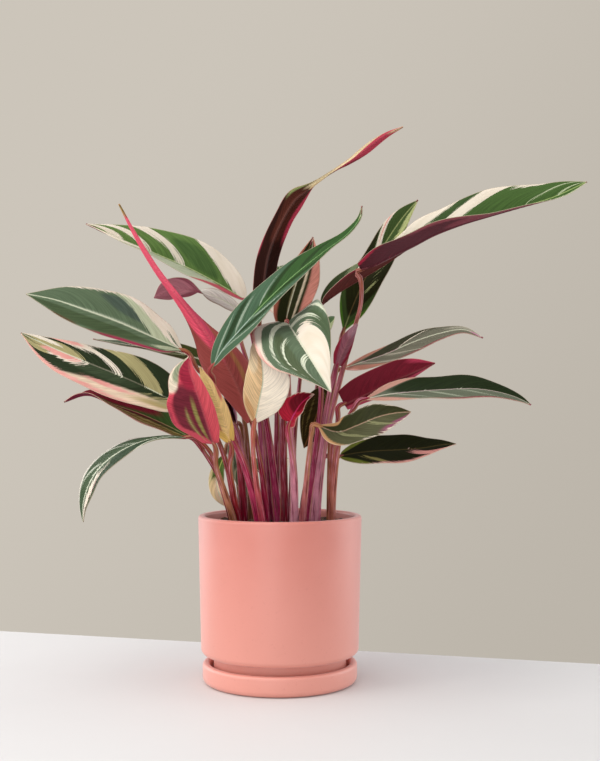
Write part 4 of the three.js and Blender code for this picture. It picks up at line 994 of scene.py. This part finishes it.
grow("front_left", {
    "front_left_red": dict(
        rib=[[-66, 236, -94], [-74, 260, -108], [-84, 290, -116], [-91, 312, -112], [-90, 324, -104]],
        half=38,
        shape=[[0.1, 0.3], [0.24, 0.8], [0.28, 1], [0.27, 0.93], [0.22, 0.74], [0.12, 0.58], [0, 0]],
        face=[[0.3, 0.9, 0.3], [0.3, 0.95, 0.1], [0.2, 0.9, -0.3]],
        fold=[[30, 4]], curl=[[20, 10]], wave=1.8,
        stalk=[[-64, 215, -80], [-56, 190, -58]], foot=[-44, -30], thick=4,
        slant=[0.2, 0.2], ground="#8E9C74", below="#C84656",
        tints=[("#E6DAC6", "both", 0.6, 1.3)],
        below_tints=[("#6A2430", "right", -0.2, 0.66, -0.1, 0.82), ("#A83C4C", "right", -0.4, 0.4, 0.88),
                     ("#C04A58", "right", -0.5, 0.06), ("#8A8048", "right", 0.05, 0.5, 0.16, 0.26),
                     ("#8E8450", "right", -0.02, 0.36, 0.4, 0.5), ("#D4545E", "left", -0.2, 1.2, 0.12),
                     ("#8E2236", "right", 0.62, 1.4, -0.2, 0.5), ("#DCCDB6", "right", 0.5, 1.4, 0.5),
                     ("#8C9276", "right", 0.66, 0.86, 0.5, 0.84)],
        low="#BC8C70", high="#8A4A3C"),
    "front_left_cream": dict(
        rib=[[-50, 238, -68], [-57, 262, -78], [-68, 290, -84], [-80, 313, -86]], half=18,
        shape=[[0.2, 0.2], [0.42, 0.75], [0.45, 1], [0.42, 0.95], [0.34, 0.7], [0.18, 0.35], [0, 0]],
        face=[[-0.2, 0.95, 0.2], [-0.3, 0.9, 0.2], [-0.3, 0.9, 0]],
        fold=[[10, 16]], curl=[[20, 20]], wave=1.4,
        stalk=[[-50, 214, -60], [-46, 185, -48]], foot=[-40, -26], thick=3.5,
        slant=[0.2, 0.2], ground="#8C9468", below="#EAC484",
        below_tints=[("#B85A50", "right", 0.1, 0.26, 0.3, 0.8), ("#C0645A", "left", 0.4, 0.6, 0.5),
                     ("#D8B060", "both", -0.4, 0.12)],
        low="#8E3040", high="#8C4438"),
    "low_left": dict(
        rib=[[-94, 243, -60], [-118, 243, -64], [-139, 238, -66], [-157, 230, -66], [-173, 219, -64],
             [-185, 206, -62], [-193, 190, -60], [-197, 174, -58], [-197, 158, -56]], half=22, widest=0.5,
        face=[[0, -0.5, 0.86], [-0.2, -0.6, 0.8], [-0.6, -0.7, 0.3], [-0.7, -0.7, 0]],
        fold=[[30, -24], [26, -14], [14, 0]], wave=1.2,
        stalk=[[-82, 240, -56], [-70, 228, -52], [-62, 205, -48], [-54, 180, -42]], foot=[-46, -22],
        thick=3.5,
        ground="#43543A", below="#6E2238", band="#BDC2AE",
        cream=[("left", 0.5, 0.9, 0.3, 0.75)],
        bands=[("right", 0.3, 0.34, 0.2), ("right", 0.55, 0.6, 0.2, 0.8), ("left", 0.0, 0.06, 0.3),
               ("both", 0.1, 1.0, -0.2, 0.06)],
        tints=[("#DDD8CC", "right", -0.4, 1.3, 0.86), ("#6A2438", "left", 0.45, 1.0, 0.62, 0.8),
               ("#31422C", "left", 0.0, 0.5, 0.2)],
        low="#6A1626", high="#8C4038"),
})

# ---------------------------------------------------------------- shoot: back_left
#
# A thin long blade that reaches left behind the others, and two small ones that hang over the rim.

grow("back_left", {
    "low_left_cream": dict(
        rib=[[-56, 224, 26], [-62, 206, 24], [-62, 190, 22], [-52, 172, 24]], half=9, widest=0.5,
        face=[[-0.4, -0.8, 0.4], [-0.4, -0.9, 0], [-0.3, -0.9, -0.2]],
        fold=[[20, 20]], wave=0.6,
        stalk=[[-52, 236, 24], [-46, 230, 24], [-42, 200, 24]], foot=[-38, 24], thick=3.5,
        ground="#E8CCAA", below="#8A4A50",
        tints=[("#4E6628", "both", -0.4, 0.42), ("#E4D29C", "right", 0.0, 0.56, 0.66),
               ("#E8CC9C", "right", 0.3, 0.6, 0.3)],
        low="#7A5038", high="#8C6048"),
    "hanging_green": dict(
        rib=[[-47, 243, 16], [-44, 222, 12], [-38, 200, 10], [-34, 181, 12]], half=9, widest=0.45,
        face=[[0.1, -0.9, 0.4], [0.1, -1, 0.1], [0.1, -1, 0]],
        fold=[[15, 15]], wave=0.6,
        stalk=[[-45, 256, 22], [-40, 256, 28], [-36, 225, 28]], foot=[-32, 24], thick=3.5,
        ground="#5A6850", below="#6E2A3C",
        bands=[("right", 0.1, 0.5, 0.4), ("left", 0.4, 0.9, 0.3)],
        low="#7A5038", high="#8C6048"),
    "left_inner": dict(
        rib=[[-62, 310, 10], [-80, 320, 6], [-105, 328, 2], [-140, 333, -2], [-165, 337, -4],
             [-187, 341, -6]], half=15, widest=0.3,
        face=[[0, -0.7, 0.7], [0, -0.4, 0.9], [0, -0.25, 0.95]],
        fold=[[14, 14]], wave=0.8,
        stalk=[[-50, 298, 16], [-38, 270, 20], [-32, 225, 20]], foot=[-30, 17], thick=4,
        ground="#464C24", below="#6A2236", band="#8E9470",
        cream=[("right", -0.2, 1.0, -0.3, 0.1)],
        bands=[("left", 0.2, 0.34, 0.3), ("right", 0.5, 0.56, 0.1)],
        tints=[("#62725C", "both", 0.55, 1.3)],
        low="#7A5038", high="#8C6048"),
})

# ---------------------------------------------------------------- shoot: centre
#
# The tallest leaf of the clump, which turns its dark back to the front and twists near its tip, and a
# shorter upright one beside it.

grow("centre", {
    "top_dark": dict(
        rib=[[-20, 362, 26], [-17, 392, 26], [-12, 424, 24], [0, 455, 20], [15, 480, 17], [26, 489, 16],
             [46, 504, 14], [57, 511, 12], [72, 520.5, 10], [87, 532, 8], [99, 541, 6], [109, 547, 5],
             [123, 553, 4]], half=15,
        shape=[[0.2, 0.2], [0.75, 0.6], [0.9, 0.71], [0.9, 0.71], [0.82, 0.66], [0.76, 0.62], [0.8, 0.66],
               [0.4, 0.28], [0.2, 0.1], [0.26, 0.13], [0.42, 0.22], [0.28, 0.14], [0, 0]],
        face=[[-0.2, 0.95, 0.1], [-0.25, 0.95, 0.1], [-0.3, 0.95, 0.1], [-0.3, 0.93, 0.2], [-0.4, 0.85, 0.3],
              [-0.6, 0.2, 0.8], [-0.5, 0.7, 0.5], [-0.4, 0.85, 0.4], [-0.3, 0.9, 0.3]],
        fold=[[14, 22]], curl=[[4, 10]], wave=0.8,
        stalk=[[-19, 330, 24], [-16, 280, 20], [-8, 220, 14]], foot=[-2, 6], thick=5,
        slant=[0.12, 0.12], ground="#5E7B4E", below="#2C120C",
        below_tints=[("#4A2218", "both", 0.28, 0.58), ("#2C120C", "right", -0.2, 0.4, 0.3),
                     ("#B4384E", "left", 0.2, 0.56, 0.66), ("#A83A50", "right", 0.12, 0.22, 0.9),
                     ("#8E9A60", "right", 0.38, 0.5, 0.72), ("#DCC090", "both", 0.56, 0.66, -0.6),
                     ("#B83E52", "both", 0.67, 0.95, -0.6), ("#7E2A38", "left", 0.62, 0.72),
                     ("#F0DAAC", "right", 0.5, 0.82, 0.15), ("#E0C098", "both", 0.93, 1.4, -0.6)],
        low="#B0486A", high="#5A1218"),
    "back_centre": dict(
        rib=[[3, 345, 10], [9, 372, 10], [18, 402, 10], [27, 426, 8], [33, 443, 6]], half=23,
        shape=[[0, 0], [0.62, 0.75], [0.75, 1], [0.68, 1.08], [0.5, 1], [0.28, 0.65], [0, 0]],
        face=[[0, -0.98, 0.2], [0, -0.98, 0.2], [0, -0.95, 0.3]],
        fold=[[32, 28]], wave=1,
        stalk=[[2, 320, 10], [4, 270, 6], [4, 220, 2]], foot=[4, 0], thick=4.5,
        ground="#26290F", below="#6A2236",
        pink=[("both", 0.9, 1.4)],
        tints=[("#C4B49A", "right", 0.0, 0.9, 0.3, 0.4), ("#A89C74", "left", 0.2, 0.6, -0.2, 0.1),
               ("#B8786A", "right", -0.3, 1.3, 0.56), ("#A8604E", "left", -0.3, 1.3, 0.7)],
        low="#7A1228", high="#7A2A30"),
})

# ---------------------------------------------------------------- shoot: centre_front
#
# The broad leaf that hangs forward over the pot, folded along its midrib, and a small red one, still
# cupped, under it.

grow("centre_front", {
    "front_centre": dict(
        rib=[[8, 357, -44], [13, 349, -68], [21, 337, -92], [31, 321, -112], [40, 306, -126],
             [51, 288, -138]], half=38,
        shape=[[0.25, 0.3], [0.85, 0.9], [1, 1.02], [0.98, 1.05], [0.9, 1.05], [0.78, 0.97], [0.63, 0.82],
               [0.46, 0.62], [0.3, 0.4], [0.14, 0.18], [0, 0]],
        face=[[0, -0.45, 0.9], [0, -0.55, 0.84], [0.1, -0.75, 0.65], [0.1, -0.85, 0.5]],
        fold=[[52, 14], [50, -2], [38, -14], [26, -12], [12, -5]], curl=[[-12, -12]], wave=1.2,
        stalk=[[8, 352, -28], [8, 320, -20], [10, 260, -18], [14, 200, -16]], foot=[14, -14], thick=4.5,
        slant=[0.45, 1.0], bend=2.6, ground="#5C6C54", below="#7A2238", band="#D0D4BC",
        cream=[("right", -1.4, -0.3, 0.42), ("right", -0.6, 1.3, 0.955), ("left", 0.21, 1.3),
               ("left", -0.6, -0.26, 0.6)],
        green=[("left", 0.18, 0.31, 0.5)],
        bands=[("right", -0.03, 0.08, -0.1, 0.9), ("right", 0.27, 0.33, 0.3, 0.8),
               ("right", 0.58, 0.64, 0.05, 0.6), ("left", 0.09, 0.16, -0.1, 0.68),
               ("left", -0.14, -0.06, 0.3)],
        pink=[("right", -1.4, 0.1, 0.95)],
        tints=[("#8A9684", "left", -0.6, -0.12), ("#4B5B40", "left", 0.0, 0.3, 0.6),
               ("#515D42", "right", 0.1, 0.6, 0.3, 0.9)],
        low="#E8ACBE", high="#A85A50"),
    "front_red": dict(
        rib=[[10, 257, -62], [15, 267, -70], [23, 278, -74], [34, 286, -72]], half=16,
        shape=[[0.5, 0.4], [0.9, 0.7], [1, 0.8], [0.95, 0.8], [0.7, 0.6], [0.4, 0.35], [0, 0]],
        face=[[-0.4, -0.9, 0], [-0.3, -0.9, 0.2], [-0.3, -0.8, 0.5]],
        fold=[[12, 24]], curl=[[30, 40]], wave=1.4,
        stalk=[[10, 235, -54], [15, 200, -42]], foot=[14, -28], thick=4,
        ground="#B2243A", below="#B01E36",
        cream=[("both", 0.2, 1.2, 0.95)],
        tints=[("#6E1020", "left", 0.3, 0.9, -0.2, 0.85), ("#7E1424", "right", 0.4, 0.9, -0.2, 0.7),
               ("#C98A78", "both", 0.85, 1.4)],
        low="#E6B2C0", high="#A02840"),
})

# ---------------------------------------------------------------- shoot: centre_left
#
# An upright blade that came out almost without green, cream on one side and tan on the other.

grow("centre_left", {
    "front_cream": dict(
        rib=[[-25, 259, -58], [-21, 278, -68], [-17, 300, -74], [-19, 322, -70], [-25, 341, -60]], half=24,
        shape=[[0.1, 0.1], [0.38, 0.5], [0.58, 0.85], [0.7, 1], [0.72, 1.1], [0.68, 1], [0.55, 0.35],
               [0.42, 0.1], [0.28, 0.05], [0, 0]],
        face=[[0, -1, 0], [0, -1, 0], [0, -1, 0.1]],
        fold=[[24, 24]], curl=[[-20, -20]], wave=0.6,
        stalk=[[-27, 235, -48], [-24, 200, -38]], foot=[-16, -36], thick=4,
        ground="#ECC898", below="#C9A47A", band="#FBEEDA",
        bands=[("right", -1.5, 1.8, -0.3, 2.4)],
        tints=[("#F4DCB4", "left", 0.4, 1.2, 0.3), ("#D6A674", "left", -0.1, 0.1, 0.2, 0.9)],
        low="#A03A54", high="#C87A68"),
})

# ---------------------------------------------------------------- shoot: right_tall
#
# Four leaves in one sheath: two upright blades, a long one that reaches far right in a deep fold, and a
# short flap that is the sheath's own end.

grow("right_tall", {
    "right_upper": dict(
        rib=[[64, 350, 28], [73, 374, 33], [86, 403, 36], [103, 433, 34], [121, 460, 30], [138, 480, 26]],
        half=22,
        shape=[[0, 0], [0.42, 0.56], [0.7, 0.8], [0.78, 0.93], [0.7, 0.99], [0.6, 0.99], [0.58, 0.92],
               [0.6, 0.78], [0.54, 0.58], [0.33, 0.31], [0, 0]],
        face=[[-0.2, -0.95, 0.1], [-0.3, -0.93, 0.2], [-0.3, -0.9, 0.3]],
        fold=[[18, 20]], wave=1,
        stalk=[[60, 332, 24], [52, 300, 20], [42, 240, 12]], foot=[36, 5], thick=4.5,
        ground="#3D5027", below="#6A2236", band="#A6AC74",
        cream=[("left", 0.48, 0.6)],
        bands=[("right", 0.42, 1.0, 0.45, 0.9), ("right", 0.2, 0.24, 0.3, 0.7)],
        pink=[("left", 0.52, 0.56, 0.6)],
        # Painted shade: the near-black tint over the middle of the blade stands in for the shadow that falls
        # on it.
        tints=[("#25260E", "both", 0.06, 0.46), ("#4E7A28", "both", -0.4, -0.06),
               ("#8A9A48", "right", 0.5, 1.3, 0.8)],
        low="#CC8096", high="#7A4438"),
    "right_long": dict(
        rib=[[81, 410, -14], [93, 414, -17], [111, 423, -20], [133, 434, -24], [154, 445, -28],
             [183, 456, -32], [210, 464, -34], [238, 472, -38], [272, 482, -42], [307, 498, -46]], half=26,
        shape=[[0.1, 0.4], [0.4, 1.08], [0.62, 1.12], [0.9, 1.02], [0.98, 0.96], [1.08, 0.88], [1.1, 0.76],
               [0.98, 0.64], [0.78, 0.5], [0.5, 0.34], [0, 0]],
        face=[[-0.3, -0.3, 0.9], [-0.2, -0.35, 0.9], [-0.1, -0.5, 0.85], [0, -0.7, 0.7]],
        fold=[[52, 46], [52, 38], [46, 30], [40, 22], [30, 12]], curl=[[-10, 6]], wave=1.6,
        stalk=[[80, 402, -11], [81, 378, -6], [74, 350, -4], [60, 300, -4], [45, 240, -6]], foot=[35, -7],
        thick=4.5,
        ground="#45602E", below="#5A2A32", band="#B9C29C",
        cream=[("left", -0.6, 0.2), ("left", 0.31, 0.43), ("left", 0.43, 0.6, 0.9)],
        bands=[("left", 0.72, 0.75, 0.2), ("left", 0.86, 0.89, 0.1), ("right", 0.5, 1.3, 0.8)],
        tints=[("#395028", "left", 0.2, 0.34), ("#4A3A22", "both", 0.96, 1.4)],
        below_tints=[("#B03048", "both", -0.6, -0.15, -0.4), ("#8E4850", "right", -0.1, 0.8, 0.8),
                     ("#7E3A44", "right", 0.3, 0.7, 0.1)],
        low="#CC7E98", high="#985E44"),
    "right_inner": dict(
        rib=[[42, 376, 6], [60, 389, 10], [82, 402, 12], [106, 416, 12], [131, 433, 12]], half=17, widest=0.4,
        face=[[-0.4, -0.3, 0.9], [-0.4, -0.4, 0.85], [-0.4, -0.4, 0.8]],
        fold=[[50, 55]], curl=[[0, 0]], wave=0.8,
        stalk=[[40, 360, 4], [40, 330, 2], [41, 280, 0], [36, 230, 0]], foot=[30, 0], thick=4,
        ground="#3C4A2A", below="#5C2C28", band="#7A8462",
        cream=[("left", 0.3, 0.33)],
        bands=[("left", 0.16, 0.3, 0.5)],
        below_tints=[("#8E3040", "right", -0.4, 1.3, 0.88)],
        low="#B85272", high="#5E2024"),
    "right_sheath": dict(
        rib=[[58, 315, -18], [63, 328, -18], [69, 342, -16], [77, 356, -14]], half=9,
        shape=[[0.5, 0.5], [0.95, 0.95], [1, 1], [0.85, 0.85], [0.5, 0.5], [0.1, 0.1]],
        face=[[-0.2, 0.95, -0.1], [-0.2, 0.95, -0.1]],
        fold=[[10, 10]], curl=[[40, 40]], wave=0,
        stalk=[[54, 298, -20], [49, 270, -20], [42, 230, -17]], foot=[33, -16], thick=5,
        ground="#7A8A60", below="#8C5460",
        below_tints=[("#8A2238", "both", -0.4, 0.4, 0.5), ("#A07480", "both", 0.6, 1.4)],
        low="#D096A6", high="#8A3A4C"),
})

# ---------------------------------------------------------------- shoot: right
#
# Three slim leaves that lean out to the right, the middle one turned to show its crimson back.

grow("right", {
    "right_grey": dict(
        rib=[[62, 311, 6], [86, 319, -6], [106, 326, -16], [134, 338, -26], [158, 346, -33], [184, 350, -38],
             [203, 342, -40]], half=18,
        shape=[[0, 0], [0.36, 0.5], [0.52, 0.75], [0.6, 0.86], [0.64, 0.9], [0.65, 0.86], [0.6, 0.76],
               [0.5, 0.62], [0.38, 0.45], [0.2, 0.25], [0, 0]],
        face=[[0, -0.65, 0.76], [0, -0.7, 0.71], [0.1, -0.6, 0.8]],
        fold=[[12, 10]], curl=[[-16, -14]], wave=1.2,
        stalk=[[55, 304, 8], [51, 280, 6], [50, 230, 2]], foot=[50, 2], thick=3.5,
        # Partly painted sheen: the grey-olive ground is the blade's green with a painted sheen laid over it.
        ground="#706E5E", below="#7A2A40", band="#A39E8C",
        cream=[("left", 0.4, 0.43, 0.1, 0.9)],
        bands=[("right", 0.1, 0.16, 0.1), ("right", 0.3, 0.35, 0.1, 0.85), ("left", 0.6, 1.1, 0.3)],
        pink=[("both", -0.6, -0.1)],
        tints=[("#3E3F2E", "left", 0.1, 0.46, -0.1), ("#B8806E", "both", -0.6, 0.08),
               ("#8A3444", "right", 0.0, 1.2, 0.88), ("#A84858", "both", 0.86, 1.4)],
        low="#B48868", high="#98604C"),
    "right_crimson": dict(
        rib=[[64, 276, -40], [90, 288, -46], [110, 298, -50], [132, 307, -54], [155, 317, -54]], half=19,
        shape=[[0.4, 0.7], [0.5, 0.95], [0.6, 1], [0.55, 0.95], [0.4, 0.9], [0.2, 0.6], [0, 0]],
        face=[[-0.1, 0.9, 0.4], [-0.1, 0.92, 0.4], [0, 0.9, 0.4]],
        fold=[[10, 10]], curl=[[14, 14]], wave=0.6,
        stalk=[[58, 262, -36], [53, 230, -26]], foot=[51, -12], thick=3.5,
        ground="#5A7A50", below="#6C1A28",
        below_tints=[("#A8344C", "right", 0.5, 1.3, 0.6), ("#B84A60", "left", -0.4, 1.3, 0.4)],
        low="#A87058", high="#8A3440"),
    "right_green": dict(
        rib=[[86, 281, -68], [106, 285, -72], [132, 288, -76], [160, 290, -80], [196, 291, -84],
             [222, 287, -86], [240, 281, -88], [251, 275, -90]], half=21,
        shape=[[0, 0], [0.56, 0.35], [0.8, 0.5], [0.93, 0.6], [0.99, 0.72], [0.99, 0.8], [0.92, 0.8],
               [0.78, 0.72], [0.58, 0.55], [0.31, 0.3], [0, 0]],
        face=[[0, -0.6, 0.8], [0, -0.5, 0.86], [0.1, -0.5, 0.85]],
        fold=[[18, 10]], curl=[[-14, -20]], wave=1.2,
        stalk=[[74, 272, -62], [62, 250, -50], [56, 215, -36]], foot=[51, -20], thick=3.5,
        ground="#646A58", below="#7A2A40", band="#8E9480",
        bands=[("right", 0.14, 0.18, 0.1, 0.85), ("right", 0.34, 0.38, 0.1, 0.85),
               ("right", 0.54, 0.58, 0.1, 0.85)],
        tints=[("#1F2A14", "left", 0.04, 1.2, -0.1), ("#C09080", "both", -0.6, 0.04),
               ("#8A2C40", "right", 0.0, 1.3, 0.9)],
        low="#B07A68", high="#8A2C40"),
})

# ---------------------------------------------------------------- shoot: right_front
#
# One small low leaf at the front right, on a stalk that arches over the rim.

grow("right_front", {
    "right_small": dict(
        rib=[[39, 254, -86], [58, 248, -92], [76, 254, -94], [98, 263, -92], [116, 267, -88],
             [131, 268, -84]], half=21,
        shape=[[0, 0], [0.35, 0.45], [0.6, 0.75], [0.75, 0.92], [0.8, 1], [0.82, 1], [0.8, 1], [0.72, 0.9],
               [0.55, 0.68], [0.3, 0.4], [0, 0]],
        face=[[0.1, -0.6, 0.8], [0, -0.5, 0.86], [-0.1, -0.55, 0.82]],
        fold=[[20, -5]], curl=[[-8, -10]], wave=1,
        stalk=[[32, 250, -80], [29, 225, -68], [26, 195, -54]], foot=[22, -38], thick=3.5,
        ground="#54543A", below="#6A2238", band="#84845E",
        cream=[("both", 0.0, 1.2, 0.96)],
        bands=[("right", 0.2, 0.26, 0.1, 0.8), ("right", 0.5, 0.56, 0.1, 0.8)],
        tints=[("#35371E", "left", -0.2, 1.1, -0.1, 0.9), ("#8E5468", "right", 0.3, 1.3, 0.68),
               ("#C8986A", "left", -0.5, 0.06, 0.3), ("#C8986A", "right", -0.5, -0.02, 0.3)],
        low="#B06A74", high="#A0704C"),
})

# ---------------------------------------------------------------- shoot: back_right
#
# A very dark leaf that leans right behind the others, and one that hangs back over the rim.

grow("back_right", {
    "right_low": dict(
        rib=[[60, 224, 16], [78, 227, 12], [98, 229, 8], [120, 230, 6], [144, 232, 4], [162, 235, 2],
             [176, 236, 0]], half=20, widest=0.42,
        face=[[0, -0.7, 0.7], [0, -0.7, 0.7], [0, -0.6, 0.8]],
        fold=[[12, 12]], wave=1,
        stalk=[[46, 224, 20], [32, 215, 22], [25, 190, 24]], foot=[22, 24], thick=3.5,
        ground="#1B1E08", below="#6A2238", band="#86804A",
        cream=[("right", 0.56, 0.64, 0.35), ("right", -0.2, 1.2, 0.92)],
        bands=[("right", 0.12, 0.2, 0.35, 0.95)],
        pink=[("right", 0.54, 0.68, 0.2), ("right", -0.1, 1.2, 0.88)],
        tints=[("#6E7A30", "both", -0.5, 0.02, 0.3)],
        low="#8C5A60", high="#7A3A44"),
    "hanging_dark": dict(
        rib=[[42, 292, 30], [38, 270, 26], [31, 250, 24], [24, 232, 24]], half=17, widest=0.4,
        face=[[0.2, -0.9, 0.4], [0.2, -0.95, 0.1], [0.2, -0.95, 0]],
        fold=[[14, 14]], wave=0.8,
        stalk=[[43, 304, 38], [40, 306, 46], [34, 270, 46], [30, 215, 38]], foot=[27, 31], thick=4,
        ground="#33290F", below="#5A1E30", band="#5E542C",
        bands=[("right", 0.1, 0.7, 0.4, 0.52), ("left", 0.0, 0.8, 0.3, 0.42),
               ("right", 0.2, 0.9, 0.75, 0.85)],
        low="#8C5A48", high="#6E3A30"),
})

# ---------------------------------------------------------------- shoot: back
#
# Four leaves at the back, which arch away behind the clump and fill out its far side.

grow("back", {
    "back_left_high": dict(
        rib=[[-2, 365, 76], [0, 395, 104], [0, 412, 140], [-4, 410, 176], [-10, 394, 206]], half=26,
        widest=0.4,
        face=[[0, -0.7, 0.7], [-0.1, -0.2, 1], [-0.1, 0.2, 1], [-0.1, 0.6, 0.8]],
        fold=[[16, 16]], wave=1.4,
        stalk=[[-2, 330, 62], [-3, 250, 46]], foot=[-4, 34], thick=4.5,
        ground="#42582F", below="#6A2036", band="#A0AA7E",
        cream=[("left", -0.4, 0.1, 0.35), ("left", 0.34, 0.48), ("right", 0.14, 0.26),
               ("right", 0.6, 0.72, 0.3)],
        bands=[("right", 0.4, 0.5, 0.1), ("left", 0.6, 0.66, 0.1)],
        pink=[("left", 0.36, 0.44, 0.5), ("left", -0.3, 0.1, 0.85)],
        low="#8E3A4C", high="#7A3440"),
    "back_middle": dict(
        rib=[[0, 300, 84], [0, 322, 116], [-2, 332, 152], [-4, 328, 188], [-6, 312, 222]], half=27,
        widest=0.4,
        face=[[0, -0.7, 0.7], [0, -0.2, 1], [0, 0.2, 1], [0, 0.6, 0.8]],
        fold=[[14, 14]], curl=[[-10, -12]], wave=1.4,
        stalk=[[2, 270, 68], [2, 220, 50]], foot=[4, 36], thick=4.5,
        ground="#3C5430", below="#702238", band="#9CA87A",
        cream=[("right", -0.4, 0.16, 0.3), ("right", 0.42, 0.56), ("left", 0.2, 0.3),
               ("left", 0.66, 0.95, 0.4)],
        bands=[("left", 0.4, 0.5, 0.1), ("right", 0.2, 0.27, 0.1)],
        pink=[("right", -0.3, 0.2, 0.82), ("right", 0.45, 0.52, 0.55)],
        low="#8E3A4C", high="#7A3440"),
    "back_right_high": dict(
        rib=[[24, 330, 66], [30, 350, 94], [33, 362, 126], [34, 358, 160], [34, 344, 192]], half=25,
        widest=0.4,
        face=[[0.1, -0.7, 0.7], [0.1, -0.2, 1], [0.1, 0.2, 1], [0.1, 0.6, 0.8]],
        fold=[[16, 16]], wave=1.4,
        stalk=[[20, 300, 56], [14, 240, 46]], foot=[10, 32], thick=4.5,
        ground="#445C33", below="#6A2036", band="#A2AC80",
        cream=[("left", 0.1, 0.22), ("right", 0.3, 0.44), ("right", 0.7, 1.0, 0.3), ("left", 0.5, 0.6, 0.3)],
        bands=[("left", 0.3, 0.38, 0.1), ("right", 0.0, 0.1, 0.2)],
        pink=[("left", 0.12, 0.2, 0.6), ("right", 0.72, 1.0, 0.75)],
        low="#8E3A4C", high="#7A3440"),
    "back_low": dict(
        rib=[[-6, 202, 84], [-10, 216, 112], [-14, 218, 144], [-20, 206, 176]], half=22, widest=0.4,
        face=[[0, -0.7, 0.7], [0, -0.1, 1], [0, 0.5, 0.86], [0, 0.8, 0.6]],
        fold=[[14, 14]], wave=1.2,
        stalk=[[-3, 186, 66]], foot=[0, 42], thick=4,
        ground="#3E5630", below="#6E2238", band="#9CA87A",
        cream=[("right", -0.4, 0.12, 0.4), ("left", 0.4, 0.55)],
        bands=[("right", 0.3, 0.4, 0.1)],
        pink=[("left", 0.43, 0.52, 0.6)],
        low="#8E3A4C", high="#7A3440"),
})

# ---------------------------------------------------------------- floor, light and camera
#
# A plain pale table top that ends behind the plant, soft lights from above, from both sides and low in
# front, and a plain warm grey room round them.

TABLE_FACETS = 24
TABLE_CORNERS = ((-1.6, -1.3), (1.6, -1.3), (-1.6, 0.59), (1.6, -0.265))  # two in front, two behind
TABLE_CLOUD = 0.15
TABLE_PAINT = "#D5D3D2"
TABLE_SHADE = "#D1CFCE"

bpy.ops.object.select_all(action="DESELECT")
bpy.ops.mesh.primitive_grid_add(x_subdivisions=TABLE_FACETS, y_subdivisions=TABLE_FACETS, size=2)
table = bpy.context.object
table.name = table.data.name = "table_top"
for corner in table.data.vertices:
    s, t = (corner.co.x + 1) / 2, (corner.co.y + 1) / 2
    low, high = (Vector(a).lerp(Vector(b), s) for a, b in (TABLE_CORNERS[:2], TABLE_CORNERS[2:]))
    corner.co = (*low.lerp(high, t), 0)

# Table paint: a sprayed off-white, all but even, with no gloss.
painted, tree = new_material("painted_table_top")
place = add(tree, "TexCoord", give="Object")
clouds = add(tree, "TexNoise", (place, 1 / TABLE_CLOUD, 3))
add(tree, "OutputMaterial", {"Surface": add(tree, "BsdfPrincipled", {
    "Base Color": add(tree, "Mix", (clouds, linear(TABLE_PAINT), linear(TABLE_SHADE))),
    "Roughness": add(tree, "MapRange", (clouds, 0.3, 0.7, 0.6, 0.7), **SMOOTH),
})})
table.data.materials.append(painted)


def soft_light(name, place, target, size, power, colour):
    """A square soft light at a place, turned towards a target."""
    bpy.ops.object.light_add(type="AREA", location=place)
    made = bpy.context.object
    made.name = made.data.name = name
    made.rotation_euler = (Vector(target) - Vector(place)).to_track_quat("-Z", "Y").to_euler()
    made.data.size = size
    made.data.energy = power
    made.data.color = linear(colour)[:3]


soft_light("top", (-0.55, -0.75, 2.1), (0, 0, 0.25), 1.5, 24, "#FFFDFA")
soft_light("key", (-1.8, -0.6, 0.95), (0, 0, 0.25), 1.4, 13, "#FFFDFA")
soft_light("side", (-1.4, 0.9, 0.5), (0, 0, 0.15), 1.4, 12, "#FFFFFF")
soft_light("fill", (1.6, 0.5, 0.5), (0, 0, 0.15), 1.4, 11, "#FFFFFF")
soft_light("low", (-0.25, -1.0, 0.12), (0, 0, 0.02), 0.5, 1.7, "#F4FFFF")

# The room is seen as a warm grey wall, a little darker towards the lower right, and lights the plant
# with the same grey without its warmth.
ROOM_GREY = "#CCC5BA"
ROOM_SHADE = "#BBB4A9"
ROOM_LIGHT = "#C9C9CA"
ROOM_STRENGTH = 1.12
ROOM_SLOPE = (1.3, 0, -0.9)

world = bpy.data.worlds.new("room")
bpy.context.scene.world = world
world.use_nodes = True
tree = world.node_tree
tree.nodes.clear()
way = add(tree, "TexCoord", give="Generated")
slope = add(
    tree, "VectorMath", {"Vector": way, "Vector_001": ROOM_SLOPE}, give="Value", operation="DOT_PRODUCT")
darker = add(tree, "MapRange", (slope, -0.45, 0.6), **SMOOTH)
wall = add(tree, "Mix", (darker, linear(ROOM_GREY), linear(ROOM_SHADE)))
seen_straight = add(tree, "LightPath", give="Is Camera Ray")
add(tree, "OutputWorld", {"Surface": add(tree, "Background", {
    "Color": add(tree, "Mix", (seen_straight, linear(ROOM_LIGHT), wall)),
    "Strength": add(tree, "MapRange", (seen_straight, 0, 1, ROOM_STRENGTH, 1)),
})})
bpy.context.scene.view_settings.view_transform = "Standard"

CAMERA_LENS = 54.64
CAMERA_SHIFT = 0.03745
bpy.ops.object.camera_add(location=[e / 1000 for e in EYE], rotation=(math.pi / 2, 0, 0))
camera = bpy.context.object
camera.name = "camera"
camera.data.lens = CAMERA_LENS
camera.data.sensor_width = 36
camera.data.shift_y = CAMERA_SHIFT
bpy.context.scene.camera = camera
